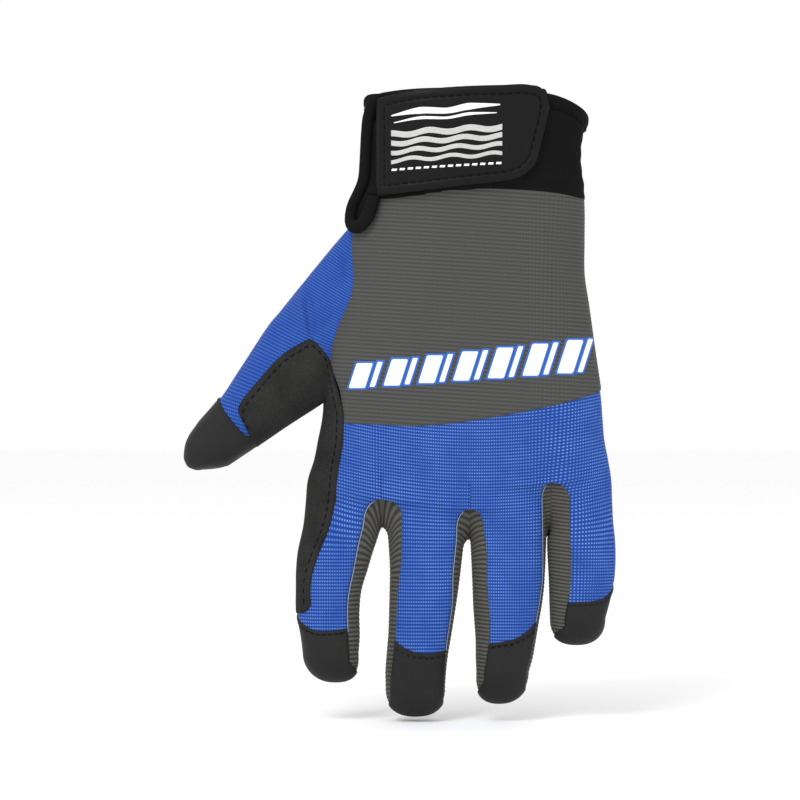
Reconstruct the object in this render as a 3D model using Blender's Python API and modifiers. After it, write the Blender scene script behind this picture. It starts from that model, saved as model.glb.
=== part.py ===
"""A left-hand, full-finger sailing glove, standing as a hand inside it would hold it.

The fingers point down, +Z runs up the forearm, +X is towards the little finger and the back of the
hand faces -Y. The origin is the centre of the wrist mouth. The glove is a set of sewn panels round
a hollow: each panel is a thin shell, and neighbours keep the width of a seam between them.
The fingers and the thumb bend at two hinges each, and the wrist strap swings open on its sewn end.
"""

import math

import bmesh
import bpy
import numpy as np
from mathutils import Vector

MM = 0.001

# Grading: the pattern's size over the adult large that the stations below describe
ACROSS = 1.0
DEEP = 1.0
LONG = 1.0

# Sheet thicknesses, in millimetres
FABRIC = 1.0  # stretch fabric of the back and the finger sides
LEATHER = 1.1  # synthetic leather of the palm, thumb and fingertips
NEOPRENE = 2.4  # wrist band
STRAP = 1.6  # two welded layers
HOOK_TAPE = 0.6
ELASTIC = 0.8
LABEL = 0.5
PAD = 2.2  # foam under the palm overlay
HEEL_PAD = 2.0

# Clearances
SEAM = 0.9  # between two panels that are sewn edge to edge
LAY = 0.5  # between a piece and what it lies on
HINGE = 0.5  # each side of a bending line, before the wedge that lets it fold

# Wrist mouth to finger bases: how far down, left edge, right edge, half depth, section power
HAND = [
    (38, -43.0, 40.6, 21.5, 2.5),
    (52, -49.5, 40.5, 20.2, 2.5),
    (66, -50.8, 41.0, 19.2, 2.5),
    (82, -54.0, 42.5, 18.3, 2.6),
    (97, -58.3, 44.7, 17.5, 2.6),
    (110, -58.5, 46.6, 16.8, 2.7),
    (122, -57.6, 47.6, 16.0, 2.8),
    (137, -59.9, 49.9, 14.6, 2.9),
    (152, -62.8, 51.6, 12.8, 3.1),
    (164, -63.2, 52.0, 12.0, 3.2),
]
CUFF = [
    (-6, -41.6, 41.4, 24.6, 2.4),
    (0, -41.6, 41.0, 24.4, 2.4),
    (14, -41.2, 39.6, 23.8, 2.4),
    (28, -41.4, 39.2, 22.8, 2.4),
    (40, -42.6, 40.6, 21.6, 2.5),
]
CUFF_END = 37.6  # where the wrist band meets the hand panels
HEM_END = 3.2

# Each finger: its outline as in HAND, the rounded tip's x and reach, the two bending lines, where
# the leather hood starts, and the angles that its back and palm strips cover (0 is towards +X,
# 90 is the back of the hand).
FINGERS = {
    "index": {
        "outline": [
            (150, -63.2, -35.2, 10.6, 2.4),
            (167, -64.9, -36.8, 10.2, 2.4),
            (178, -66.2, -40.2, 9.8, 2.4),
            (190, -66.2, -43.2, 9.6, 2.4),
            (201, -65.2, -43.6, 9.3, 2.4),
            (209, -63.9, -44.0, 8.8, 2.4),
        ],
        "tip": (-52.6, 218.4),
        "knuckle": 161.0,
        "middle_joint": 187.5,
        "hood": 199.5,
        "back": (52, 126),
        "palm": (198, 332),
        "left_side": "guard",
        "right_side": "fourchette",
    },
    "middle": {
        "outline": [
            (150, -33.6, -4.0, 11.0, 2.4),
            (171, -32.8, -4.6, 10.6, 2.4),
            (190, -32.3, -6.6, 10.2, 2.4),
            (205, -33.2, -8.8, 9.8, 2.4),
            (217, -34.0, -10.8, 9.3, 2.4),
            (223, -33.8, -11.6, 8.8, 2.4),
        ],
        "tip": (-23.2, 232.5),
        "knuckle": 164.5,
        "middle_joint": 194.0,
        "hood": 207.5,
        "back": (42, 136),
        "palm": (208, 332),
        "left_side": "fourchette",
        "right_side": "fourchette",
    },
    "ring": {
        "outline": [
            (150, -2.4, 25.6, 10.6, 2.4),
            (174, -2.1, 25.9, 10.2, 2.4),
            (190, -1.2, 25.0, 9.9, 2.4),
            (204, -0.6, 22.6, 9.4, 2.4),
            (216, 0.4, 20.2, 8.8, 2.4),
        ],
        "tip": (9.4, 227.4),
        "knuckle": 164.0,
        "middle_joint": 191.0,
        "hood": 203.0,
        "back": (28, 128),
        "palm": (208, 332),
        "left_side": "fourchette",
        "right_side": "fourchette",
    },
    "little": {
        "outline": [
            (145, 27.2, 51.6, 9.8, 2.4),
            (160, 27.2, 51.9, 9.6, 2.4),
            (178, 28.2, 52.4, 9.2, 2.4),
            (190, 28.0, 50.2, 8.8, 2.4),
            (197, 27.9, 48.0, 8.3, 2.4),
        ],
        "tip": (37.6, 205.4),
        "knuckle": 159.5,
        "middle_joint": 179.5,
        "hood": 190.5,
        "back": (-18, 118),
        "palm": (204, 340),
        "left_side": "fourchette",
        "right_side": None,
    },
}
KNUCKLE_RANGE = 70  # degrees of bend
MIDDLE_RANGE = 80
AXIS_DEPTH = 0.6  # a bending line's place, as a share of the half depth towards the palm

# The thumb: left end (x, down) and right end (x, down) of each section, half depth, y, power.
# It starts as the long opening in the hand's thumb side.
THUMB = [
    (0, -48.2, 51.0, -57.8, 115.4, 7.4, 0.0, 4.0),
    (1, -61.4, 66.0, -59.4, 115.2, 12.4, 2.0, 3.2),
    (2, -79.4, 91.6, -60.4, 116.2, 13.4, 3.6, 2.4),
    (3, -89.2, 102.6, -69.8, 122.8, 12.6, 4.4, 2.4),
    (4, -96.4, 113.6, -80.2, 131.8, 11.6, 5.0, 2.4),
    (5, -102.8, 122.8, -89.2, 137.4, 10.4, 5.4, 2.4),
]
THUMB_TIP = (-106.6, 139.6)
THUMB_BASE_JOINT = 2.1
THUMB_TIP_JOINT = 3.75
THUMB_BACK = (96, 188)
THUMB_GUARD = (-40, 96)
THUMB_PALM = (188, 320)
THUMB_BASE_RANGE = 45
THUMB_TIP_RANGE = 60

# Wrist strap: x of its sewn end, of its free end at the top and at the bottom, and its edges
STRAP_ROOT = -35.6
STRAP_END = 28.4
STRAP_END_SLANT = 6.0
STRAP_TOP = (0.4, -3.8)  # how far down its top edge is at the sewn and the free end
STRAP_BOTTOM = (37.6, 30.2)
STRAP_CORNER = 6.0
STRAP_RANGE = 120

SLIT = (148, 161)  # the gap in the wrist band, in degrees round it
BINDING_RADIUS = 2.0
SEAM_LOW = 124.0  # the grey panel's lower seam at the thumb side, and how far it climbs
SEAM_CLIMB = 14.5
PALM_SIDE = 342  # the little-finger seam between back and palm, in degrees
THUMB_EDGE_BACK = 156
THUMB_EDGE_PALM = 210
THUMB_OPENING = (52.0, 114.0)
GUARD_FRONT = 137  # the front edge of the leather strip beside the index finger

COLOURS = {
    "blue_fabric": (0.04, 0.12, 0.40, 0.85),
    "grey_fabric": (0.08, 0.08, 0.08, 0.9),
    "rib_fabric": (0.14, 0.14, 0.13, 0.9),
    "black_suede": (0.03, 0.03, 0.03, 0.85),
    "black_leather": (0.035, 0.035, 0.035, 0.6),
    "neoprene": (0.012, 0.012, 0.012, 0.8),
    "strap_rubber": (0.018, 0.018, 0.018, 0.55),
    "hook_tape": (0.015, 0.015, 0.015, 0.95),
    "label_cloth": (0.6, 0.6, 0.6, 0.9),
}


def clear_scene():
    for thing in list(bpy.data.objects):
        bpy.data.objects.remove(thing)


def new_material(name):
    *colour, roughness = COLOURS[name]
    material = bpy.data.materials.new(name)
    material.use_nodes = True
    shader = material.node_tree.nodes["Principled BSDF"]
    shader.inputs["Base Color"].default_value = (*colour, 1)
    shader.inputs["Roughness"].default_value = roughness
    shader.inputs["Metallic"].default_value = 0
    return material


def place(name, data, material, collection):
    thing = bpy.data.objects.new(name, data)
    data.materials.append(material)
    collection.objects.link(thing)
    return thing


def graded(point):
    """A point of the adult large glove, in this size, in metres."""
    return Vector((point.x * ACROSS, point.y * DEEP, point.z * LONG)) * MM


def new_pivot(name, location, collection, parent=None):
    """An empty on a joint's axis, under the pivot of the piece that it bends from."""
    pivot = bpy.data.objects.new(name, None)
    pivot.empty_display_size = 8 * MM
    collection.objects.link(pivot)
    pivot.location = graded(location)
    if parent is not None:
        pivot.parent = parent
        pivot.location -= parent.matrix_world.translation
    bpy.context.view_layer.update()
    return pivot


def hang(thing, pivot):
    """Puts a piece under a pivot and leaves it where it is."""
    thing.parent = pivot
    thing.location -= pivot.matrix_world.translation


def smooth_between(stations, at):
    """The values of the stations at this distance, on a smooth curve through all of them."""
    rows = np.array(stations, float)
    keys = rows[:, 0]
    values = rows[:, 1:]
    slopes = np.gradient(values, keys, axis=0)
    i = int(np.clip(np.searchsorted(keys, at) - 1, 0, len(keys) - 2))
    step = keys[i + 1] - keys[i]
    t = (at - keys[i]) / step
    start = (2 * t**3 - 3 * t**2 + 1) * values[i] + (t**3 - 2 * t**2 + t) * step * slopes[i]
    end = (3 * t**2 - 2 * t**3) * values[i + 1] + (t**3 - t**2) * step * slopes[i + 1]
    return start + end


def round_section(angle, power):
    """Across and towards the back, each from -1 to 1, of a rounded box at this angle in degrees."""
    c = math.cos(math.radians(angle))
    s = math.sin(math.radians(angle))
    across = math.copysign(abs(c) ** (2 / power), c)
    back = math.copysign(abs(s) ** (2 / power), s)
    return across, back


def tube_point(stations, angle, down, outset=0.0):
    """A point of an upright tube whose stations hold left, right, half depth and power."""
    left, right, depth, power = smooth_between(stations, down)
    across, back = round_section(angle, power)
    middle = (left + right) / 2
    return Vector(
        (
            middle + ((right - left) / 2 + outset) * across,
            -(depth + outset) * back,
            -down,
        )
    )


def angle_at(stations, x, down):
    """The angle on the back of an upright tube where it reaches this x."""
    left, right, _, power = smooth_between(stations, down)
    across = np.clip((2 * x - left - right) / (right - left), -1, 1)
    c = math.copysign(abs(across) ** (power / 2), across)
    return math.degrees(math.acos(c))


def thumb_point(angle, at):
    """A point of the thumb's tube, whose sections lie across the thumb and not level."""
    left_x, left_down, right_x, right_down, depth, y, power = smooth_between(THUMB, at)
    across, back = round_section(angle, power)
    share = (across + 1) / 2
    return Vector(
        (
            left_x + (right_x - left_x) * share,
            y - depth * back,
            -(left_down + (right_down - left_down) * share),
        )
    )


def panel(name, surface, columns, rows, thickness, material, collection):
    """A closed shell: a grid laid on surface(u, v), with its thickness on the inner side.

    u and v run from 0 to 1, and u across v points out of the glove.
    """
    shape = bmesh.new()
    bmesh.ops.create_grid(shape, x_segments=columns, y_segments=rows, size=0.5)
    for vert in shape.verts:
        vert.co = graded(surface(vert.co.x + 0.5, vert.co.y + 0.5))
    mesh = bpy.data.meshes.new(name)
    shape.to_mesh(mesh)
    shape.free()
    mesh.shade_smooth()
    thing = place(name, mesh, material, collection)
    shell = thing.modifiers.new("thickness", "SOLIDIFY")
    shell.thickness = thickness * MM
    shell.offset = -1
    shell.use_even_offset = True
    return thing


def wedge(y, axis_y, bend):
    """How far a wall at depth y is cut back from a bending line, so that the fold has room."""
    return HINGE + max(0.0, y - axis_y) * math.tan(math.radians(bend / 2))


def seam_angle(radius, gap=SEAM):
    """Half a seam's width as an angle round a section of this radius."""
    return math.degrees(gap / 2 / radius)


def back_seam(x):
    """How far down the seam between the grey and the blue back panels is at this x."""
    return SEAM_LOW - SEAM_CLIMB * max(0.0, (x + 28) / 75) ** 2


def finger_axis_y(finger, down):
    return AXIS_DEPTH * smooth_between(finger["outline"], down)[2]


def finger_axis(finger, down):
    """The middle of the bending line at this distance down."""
    left, right = smooth_between(finger["outline"], down)[:2]
    return Vector(((left + right) / 2, finger_axis_y(finger, down), -down))


def finger_base(x):
    """The knuckle line's distance down at this x: each finger's own, and the higher at a crotch."""
    knots = []
    fingers = list(FINGERS.values())
    for finger, after in zip(fingers, fingers[1:] + [None]):
        left, right = smooth_between(finger["outline"], finger["knuckle"])[:2]
        knots.append(((left + right) / 2, finger["knuckle"]))
        if after is not None:
            lowest = min(finger["knuckle"], after["knuckle"])
            knots.append((right - 3, lowest))
            knots.append((right + 3, lowest))
    xs, downs = zip(*knots)
    return float(np.interp(x, xs, downs))


def knuckle_axis_y(x):
    """The depth of the nearest finger's knuckle axis at this x."""
    def reach(finger):
        left, right = smooth_between(finger["outline"], finger["knuckle"])[:2]
        return abs(x - (left + right) / 2)

    nearest = min(FINGERS.values(), key=reach)
    return finger_axis_y(nearest, nearest["knuckle"])


def hand_panel(name, angles, top, bottom, columns, rows, thickness, material, collection):
    """A panel of the hand between two angles, from top(x) to bottom(point) down."""

    def surface(u, v):
        angle = angles[1] + (angles[0] - angles[1]) * u
        high = top(tube_point(HAND, angle, 90))
        low = bottom(tube_point(HAND, angle, 150))
        return tube_point(HAND, angle, low + (high - low) * v)

    return panel(name, surface, columns, rows, thickness, material, collection)


def build_hand(materials, collection):
    def under_cuff(point):
        return CUFF_END + SEAM

    def above_back_seam(point):
        return back_seam(point.x) - SEAM / 2

    def below_back_seam(point):
        return back_seam(point.x) + SEAM / 2

    def knuckle_line(point):
        cut = wedge(point.y, knuckle_axis_y(point.x), KNUCKLE_RANGE)
        return finger_base(point.x) - cut

    gap = seam_angle(17)
    right = PALM_SIDE - 360 + gap
    hand_panel(
        "back_panel",
        (right, THUMB_EDGE_BACK - gap),
        under_cuff,
        above_back_seam,
        14,
        7,
        FABRIC,
        materials["grey_fabric"],
        collection,
    )
    hand_panel(
        "knuckle_panel",
        (right, GUARD_FRONT - gap),
        below_back_seam,
        knuckle_line,
        24,
        4,
        FABRIC,
        materials["blue_fabric"],
        collection,
    )
    hand_panel(
        "palm_panel",
        (THUMB_EDGE_PALM + gap, PALM_SIDE - gap),
        under_cuff,
        knuckle_line,
        20,
        9,
        LEATHER,
        materials["black_leather"],
        collection,
    )

    hand_panel(
        "index_side_guard",
        (GUARD_FRONT + gap, THUMB_EDGE_PALM - gap),
        lambda point: SEAM_LOW + SEAM,
        knuckle_line,
        6,
        3,
        LEATHER,
        materials["black_suede"],
        collection,
    )
    hand_panel(
        "wrist_gusset",
        (THUMB_EDGE_BACK + gap, THUMB_EDGE_PALM - gap),
        under_cuff,
        lambda point: THUMB_OPENING[0] - SEAM,
        4,
        1,
        FABRIC,
        materials["blue_fabric"],
        collection,
    )
    build_crotches(materials, collection)


def build_crotches(materials, collection):
    """The turn of each fourchette between two fingers: a rounded bar from back to palm."""
    names = list(FINGERS)
    for name, after in zip(names, names[1:]):
        first = FINGERS[name]
        second = FINGERS[after]
        down = min(first["knuckle"], second["knuckle"]) - HINGE
        right = smooth_between(first["outline"], down)[1]
        left = smooth_between(second["outline"], down)[0]
        depth = min(smooth_between(f["outline"], down)[2] for f in (first, second))
        wide = left - right + 2 * FABRIC
        long = 2 * (depth - FABRIC - SEAM)
        palm_cut = wedge(long / 2, finger_axis_y(first, first["knuckle"]), KNUCKLE_RANGE)
        tall = 3.0
        shape = bmesh.new()
        bmesh.ops.create_cube(shape, size=1)
        size = graded(Vector((wide, long, tall)))
        bmesh.ops.scale(shape, vec=size, verts=shape.verts)
        mesh = bpy.data.meshes.new(f"{name}_{after}_crotch")
        shape.to_mesh(mesh)
        shape.free()
        bar = place(mesh.name, mesh, materials["rib_fabric"], collection)
        bar.location = graded(Vector(((left + right) / 2, 0, -down + palm_cut + tall / 2)))
        edges = bar.modifiers.new("rounding", "BEVEL")
        edges.width = 0.9 * MM
        edges.segments = 2


def build_finger(name, finger, materials, collection):
    """Both segments of a finger: back, palm and side strips, then the hood over the tip."""
    outline = finger["outline"]
    back_right, back_left = finger["back"]
    palm_left, palm_right = finger["palm"]
    walls = {
        "back": (back_right, back_left, "blue_fabric", FABRIC),
        "palm": (palm_left, palm_right, "black_leather", LEATHER),
    }
    if finger["left_side"] == "guard":
        walls["guard"] = (back_left, palm_left, "black_suede", FABRIC)
    else:
        walls["left_fourchette"] = (back_left, palm_left, "rib_fabric", FABRIC)
    if finger["right_side"]:
        walls["right_fourchette"] = (palm_right - 360, back_right, "rib_fabric", FABRIC)

    def start(y, joint, bend):
        return joint + wedge(y, finger_axis_y(finger, joint), bend)

    def end(y, joint, bend):
        return joint - wedge(y, finger_axis_y(finger, joint), bend)

    knuckle = finger["knuckle"]
    middle = finger["middle_joint"]
    segments = {
        "base": (
            lambda y: start(y, knuckle, KNUCKLE_RANGE),
            lambda y: end(y, middle, MIDDLE_RANGE),
        ),
        "end": (
            lambda y: start(y, middle, MIDDLE_RANGE),
            lambda y: finger["hood"] - SEAM / 2,
        ),
    }
    pivots = {
        "base": new_pivot(f"{name}_knuckle_pivot", finger_axis(finger, knuckle), collection),
    }
    joint = finger_axis(finger, middle)
    pivots["end"] = new_pivot(f"{name}_middle_pivot", joint, collection, pivots["base"])
    gap = seam_angle(10)
    for wall, (low, high, material, thickness) in walls.items():
        columns = 6 if wall in ("back", "palm") else 3
        for segment, (first, last) in segments.items():

            def surface(u, v, low=low, high=high, first=first, last=last):
                angle = high - gap + (low - high + 2 * gap) * u
                y = tube_point(outline, angle, middle).y
                bottom = last(y)
                return tube_point(outline, angle, bottom + (first(y) - bottom) * v)

            strip = panel(
                f"{name}_{wall}_{segment}",
                surface,
                columns,
                2,
                thickness,
                materials[material],
                collection,
            )
            hang(strip, pivots[segment])
    hood = build_hood(name, finger, materials["black_leather"], collection)
    hang(hood, pivots["end"])


def build_hood(name, finger, material, collection):
    """The leather over a fingertip: a cup whose sections shrink round the end of the finger."""
    outline = finger["outline"]
    tip_x, tip_down = finger["tip"]
    shoulder = outline[-1][0]

    def section(angle, down):
        if down <= shoulder:
            return tube_point(outline, angle, down)
        share = (down - shoulder) / (tip_down - shoulder)
        shrink = (1 - share**2.2) ** (1 / 2.2)
        point = tube_point(outline, angle, shoulder)
        left, right = smooth_between(outline, shoulder)[:2]
        middle = (left + right) / 2
        centre = middle + (tip_x - middle) * share
        return Vector((centre + (point.x - middle) * shrink, point.y * shrink, -down))

    downs = [finger["hood"] + SEAM / 2, shoulder]
    reach = tip_down - shoulder
    downs += [shoulder + reach * share for share in (0.45, 0.75, 0.93)]
    pole = Vector((tip_x, 0, -tip_down))
    return cup(f"{name}_hood", section, downs, pole, material, collection)


def cup(name, section, stations, pole, material, collection, around=16):
    """A closed-ended shell of rings, one a station, that ends in a pole."""
    shape = bmesh.new()
    rings = []
    for station in stations:
        ring = []
        for i in range(around):
            angle = 360 * i / around
            at = station(angle) if callable(station) else station
            ring.append(shape.verts.new(graded(section(angle, at))))
        rings.append(ring)
    end = shape.verts.new(graded(pole))
    for upper, lower in zip(rings, rings[1:]):
        for i in range(around):
            j = (i + 1) % around
            shape.faces.new((upper[i], upper[j], lower[j], lower[i]))
    for i in range(around):
        shape.faces.new((rings[-1][i], rings[-1][(i + 1) % around], end))
    bmesh.ops.recalc_face_normals(shape, faces=shape.faces)
    outward = shape.faces[0].normal.dot(shape.faces[0].calc_center_median() - graded(pole))
    if outward < 0:
        bmesh.ops.reverse_faces(shape, faces=shape.faces)
    mesh = bpy.data.meshes.new(name)
    shape.to_mesh(mesh)
    shape.free()
    mesh.shade_smooth()
    thing = place(name, mesh, material, collection)
    shell = thing.modifiers.new("thickness", "SOLIDIFY")
    shell.thickness = LEATHER * MM
    shell.offset = -1
    return thing


def thumb_section_length():
    """Millimetres of thumb to one station, near its base joint."""
    return (thumb_point(90, 3) - thumb_point(90, 2)).length


def build_thumb(materials, collection):
    """The gusset from the hand to the base joint, the strips between the joints, and the hood."""
    def axis_y(at):
        depth, y = smooth_between(THUMB, at)[4:6]
        return y + AXIS_DEPTH * depth

    def axis(at):
        middle = (thumb_point(0, at) + thumb_point(180, at)) / 2
        return Vector((middle.x, axis_y(at), middle.z))

    base_pivot = new_pivot("thumb_base_pivot", axis(THUMB_BASE_JOINT), collection)
    tip_pivot = new_pivot("thumb_tip_pivot", axis(THUMB_TIP_JOINT), collection, base_pivot)

    def cut(y, at, bend):
        return wedge(y, axis_y(at), bend) / thumb_section_length()

    def strip(name, angles, first, last, columns, rows, thickness, material):
        gap = seam_angle(12)
        low, high = angles[0] + gap, angles[1] - gap

        def surface(u, v):
            angle = high + (low - high) * u
            y = thumb_point(angle, THUMB_BASE_JOINT).y
            start, end = first(y), last(y)
            return thumb_point(angle, end + (start - end) * v)

        return panel(name, surface, columns, rows, thickness, materials[material], collection)

    def gusset_start(y):
        return SEAM / 12

    def gusset_end(y):
        return THUMB_BASE_JOINT - cut(y, THUMB_BASE_JOINT, THUMB_BASE_RANGE)

    def base_start(y):
        return THUMB_BASE_JOINT + cut(y, THUMB_BASE_JOINT, THUMB_BASE_RANGE)

    def base_end(y):
        return THUMB_TIP_JOINT - cut(y, THUMB_TIP_JOINT, THUMB_TIP_RANGE)

    strips = {
        "back": (THUMB_BACK, FABRIC, "blue_fabric"),
        "guard": (THUMB_GUARD, LEATHER, "black_suede"),
        "palm": (THUMB_PALM, LEATHER, "black_leather"),
    }
    for part, (angles, thickness, material) in strips.items():
        strip(f"thumb_{part}_gusset", angles, gusset_start, gusset_end, 8, 5, thickness, material)
        base = strip(
            f"thumb_{part}_base", angles, base_start, base_end, 6, 3, thickness, material
        )
        hang(base, base_pivot)
    last = THUMB[-1][0]

    def hood_start(angle):
        y = thumb_point(angle, THUMB_TIP_JOINT).y
        return THUMB_TIP_JOINT + cut(y, THUMB_TIP_JOINT, THUMB_TIP_RANGE)
    tip = Vector((THUMB_TIP[0], THUMB[-1][6], -THUMB_TIP[1]))

    def section(angle, at):
        if at <= last:
            return thumb_point(angle, at)
        share = at - last
        shrink = (1 - share**2.2) ** (1 / 2.2)
        middle = (thumb_point(0, last) + thumb_point(180, last)) / 2
        centre = middle + (tip - middle) * share
        return centre + (thumb_point(angle, last) - middle) * shrink

    stations = [hood_start, last - 0.5, last, last + 0.45, last + 0.75, last + 0.93]
    hood = cup("thumb_hood", section, stations, tip, materials["black_leather"], collection)
    hang(hood, tip_pivot)


def build_cuff(materials, collection):
    """The wrist band in two halves with the slit between them, its hem, tapes and label."""
    gap = seam_angle(22)
    right = -2
    left = SLIT[1] - 360

    def band(name, angles, downs, outset, thickness, columns, rows, material):
        def surface(u, v):
            angle = angles[1] + (angles[0] - angles[1]) * u
            down = downs[1] + (downs[0] - downs[1]) * v
            return tube_point(CUFF, angle, down, outset)

        panel(name, surface, columns, rows, thickness, materials[material], collection)

    band_downs = (HEM_END + SEAM / 2, CUFF_END)
    band("cuff_back", (right + gap, SLIT[0]), band_downs, 0, NEOPRENE, 22, 2, "neoprene")
    band("cuff_palm", (left, right - gap), band_downs, 0, NEOPRENE, 24, 2, "neoprene")
    hem_downs = (-0.6, HEM_END - SEAM / 2)
    band("cuff_hem", (left, SLIT[0]), hem_downs, 0.4, NEOPRENE + 0.8, 40, 1, "neoprene")
    loop_outset = LAY + HOOK_TAPE
    band("loop_patch", (8, 92), (6, 33), loop_outset, HOOK_TAPE, 14, 2, "hook_tape")
    inside = -(NEOPRENE + LAY)
    band("wrist_elastic", (200 - 360, 336 - 360), (18, 32), inside, ELASTIC, 12, 1, "neoprene")
    band("size_label", (80, 101), (7, 26), inside, LABEL, 2, 2, "label_cloth")


def strap_outset():
    """The strap's outer face, above the wrist band, the loop tape and the hook tape."""
    return 3 * LAY + 2 * HOOK_TAPE + STRAP


def strap_edges(x):
    """How far down the strap's top and bottom edges are at this x, with its rounded corners."""
    share = (x - STRAP_ROOT) / (STRAP_END - STRAP_ROOT)
    top = STRAP_TOP[0] + (STRAP_TOP[1] - STRAP_TOP[0]) * min(1.0, 1.1 * share)
    bottom = STRAP_BOTTOM[0] + (STRAP_BOTTOM[1] - STRAP_BOTTOM[0]) * share**0.6
    into_top = max(0.0, x - (STRAP_END - STRAP_CORNER))
    top += STRAP_CORNER - math.sqrt(max(0.0, STRAP_CORNER**2 - into_top**2))
    low_corner = STRAP_CORNER + STRAP_END_SLANT
    into_bottom = max(0.0, x - (STRAP_END - low_corner)) / low_corner
    bottom -= 2 * low_corner * (1 - math.sqrt(max(0.0, 1 - into_bottom**2)))
    return top, max(bottom, top + 4)


def build_strap(materials, collection):
    def strap_surface(u, v, ends, outset, inset=0.0):
        x = ends[0] + (ends[1] - ends[0]) * math.sin(math.pi / 2 * u)
        top, bottom = strap_edges(x)
        top += inset
        bottom -= inset
        down = bottom + (top - bottom) * v
        return tube_point(CUFF, angle_at(CUFF, x, down), down, outset)

    root = strap_surface(0, 0.5, (STRAP_ROOT, STRAP_END), strap_outset())
    pivot = new_pivot("strap_pivot", root, collection)
    strap = panel(
        "strap",
        lambda u, v: strap_surface(u, v, (STRAP_ROOT, STRAP_END), strap_outset()),
        16,
        4,
        STRAP,
        materials["strap_rubber"],
        collection,
    )
    hang(strap, pivot)
    hook_outset = strap_outset() - STRAP - LAY
    hooks = panel(
        "hook_patch",
        lambda u, v: strap_surface(u, v, (0.0, 25.0), hook_outset, 2.5),
        8,
        2,
        HOOK_TAPE,
        materials["hook_tape"],
        collection,
    )
    hang(hooks, pivot)


def build_slit_binding(materials, collection):
    """Bound edge of the wrist slit: down its thumb side, round the open end and back up."""
    route = [
        (153, 0.6),
        (153, 12.0),
        (153.5, 24.0),
        (154, 33.0),
        (155, 40.0),
        (156, 46.0),
        (154, 50.6),
        (146, 52.8),
        (138.5, 50.6),
        (136.5, 46.0),
        (137, 42.4),
    ]
    curve = bpy.data.curves.new("slit_binding", "CURVE")
    curve.dimensions = "3D"
    curve.bevel_depth = BINDING_RADIUS * MM
    curve.bevel_resolution = 1
    curve.use_fill_caps = True
    curve.resolution_u = 2
    spline = curve.splines.new("NURBS")
    spline.points.add(len(route) - 1)
    spline.order_u = 3
    spline.use_endpoint_u = True
    for point, (angle, down) in zip(spline.points, route):
        stations = CUFF if down < CUFF_END else HAND
        centre = graded(tube_point(stations, angle, down, BINDING_RADIUS + 2 * LAY))
        point.co = (*centre, 1)
    place("slit_binding", curve, materials["neoprene"], collection)


def build_palm_pads(materials, collection):
    """The flat foam overlay across the palm, and the heel pad that follows the palm's curve."""
    width, height, corner = 54.0, 34.0, 9.0
    centre_x, centre_down = -4.0, 122.0
    upper = smooth_between(HAND, centre_down - height / 2)[2]
    lower = smooth_between(HAND, centre_down + height / 2)[2]
    slope = math.atan((upper - lower) / height)
    curve = bpy.data.curves.new("palm_pad", "CURVE")
    curve.dimensions = "2D"
    curve.fill_mode = "BOTH"
    curve.extrude = PAD / 2 * MM
    spline = curve.splines.new("POLY")
    corners = []
    for quarter, (sx, sz) in enumerate([(1, 1), (-1, 1), (-1, -1), (1, -1)]):
        for step in range(5):
            turn = math.radians(90 * quarter + 22.5 * step)
            corners.append(
                (
                    ACROSS * (sx * (width / 2 - corner) + corner * math.cos(turn)),
                    LONG * (sz * (height / 2 - corner) + corner * math.sin(turn)),
                )
            )
    spline.points.add(len(corners) - 1)
    for point, (x, z) in zip(spline.points, corners):
        point.co = (x * MM, z * MM, 0, 1)
    spline.use_cyclic_u = True
    pad = place("palm_pad", curve, materials["black_suede"], collection)
    pad.rotation_euler = (math.radians(90) - slope, 0, 0)
    pad.location = graded(Vector((centre_x, (upper + lower) / 2, -centre_down)))
    pad.location.y += (2 * LAY + PAD / 2) * MM

    def heel(u, v):
        angle = 300 + (242 - 300) * (1 - u)
        inset = 4 * (2 * u - 1) ** 2
        down = (88 - inset) + (54 + inset - (88 - inset)) * v
        return tube_point(HAND, angle, down, HEEL_PAD + LAY)

    panel("heel_pad", heel, 8, 4, HEEL_PAD, materials["black_suede"], collection)


def main():
    clear_scene()
    collection = bpy.data.collections.new("sailing_glove")
    bpy.context.scene.collection.children.link(collection)
    materials = {name: new_material(name) for name in COLOURS}
    build_cuff(materials, collection)
    build_strap(materials, collection)
    build_slit_binding(materials, collection)
    build_hand(materials, collection)
    build_palm_pads(materials, collection)
    for name, finger in FINGERS.items():
        build_finger(name, finger, materials, collection)
    build_thumb(materials, collection)


main()
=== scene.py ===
import math

import bmesh
import bpy
import numpy as np
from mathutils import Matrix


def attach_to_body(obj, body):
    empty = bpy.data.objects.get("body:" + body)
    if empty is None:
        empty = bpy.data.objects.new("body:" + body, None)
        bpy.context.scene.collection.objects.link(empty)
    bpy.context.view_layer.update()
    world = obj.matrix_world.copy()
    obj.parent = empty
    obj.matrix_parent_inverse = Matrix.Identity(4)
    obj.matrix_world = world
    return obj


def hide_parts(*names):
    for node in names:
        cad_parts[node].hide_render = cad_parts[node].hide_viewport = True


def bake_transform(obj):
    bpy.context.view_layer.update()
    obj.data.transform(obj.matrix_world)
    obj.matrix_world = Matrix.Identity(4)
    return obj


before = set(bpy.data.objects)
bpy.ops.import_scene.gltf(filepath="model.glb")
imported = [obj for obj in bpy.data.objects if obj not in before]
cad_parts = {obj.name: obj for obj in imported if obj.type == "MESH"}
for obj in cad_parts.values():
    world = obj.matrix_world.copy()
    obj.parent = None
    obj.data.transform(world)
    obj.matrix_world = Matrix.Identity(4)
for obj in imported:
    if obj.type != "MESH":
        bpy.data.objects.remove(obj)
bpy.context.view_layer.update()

mm = 0.001  # every shape below is worked out in millimetres
gloveBits = bpy.data.collections.new("sailingGlove")
bpy.context.scene.collection.children.link(gloveBits)
print("frame loaded")


def ease(low, high, value):
    # smoothstep: 0 below low, 1 above high
    t = np.clip((value - low) / (high - low), 0, 1)
    return t * t * (3 - 2 * t)


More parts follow.
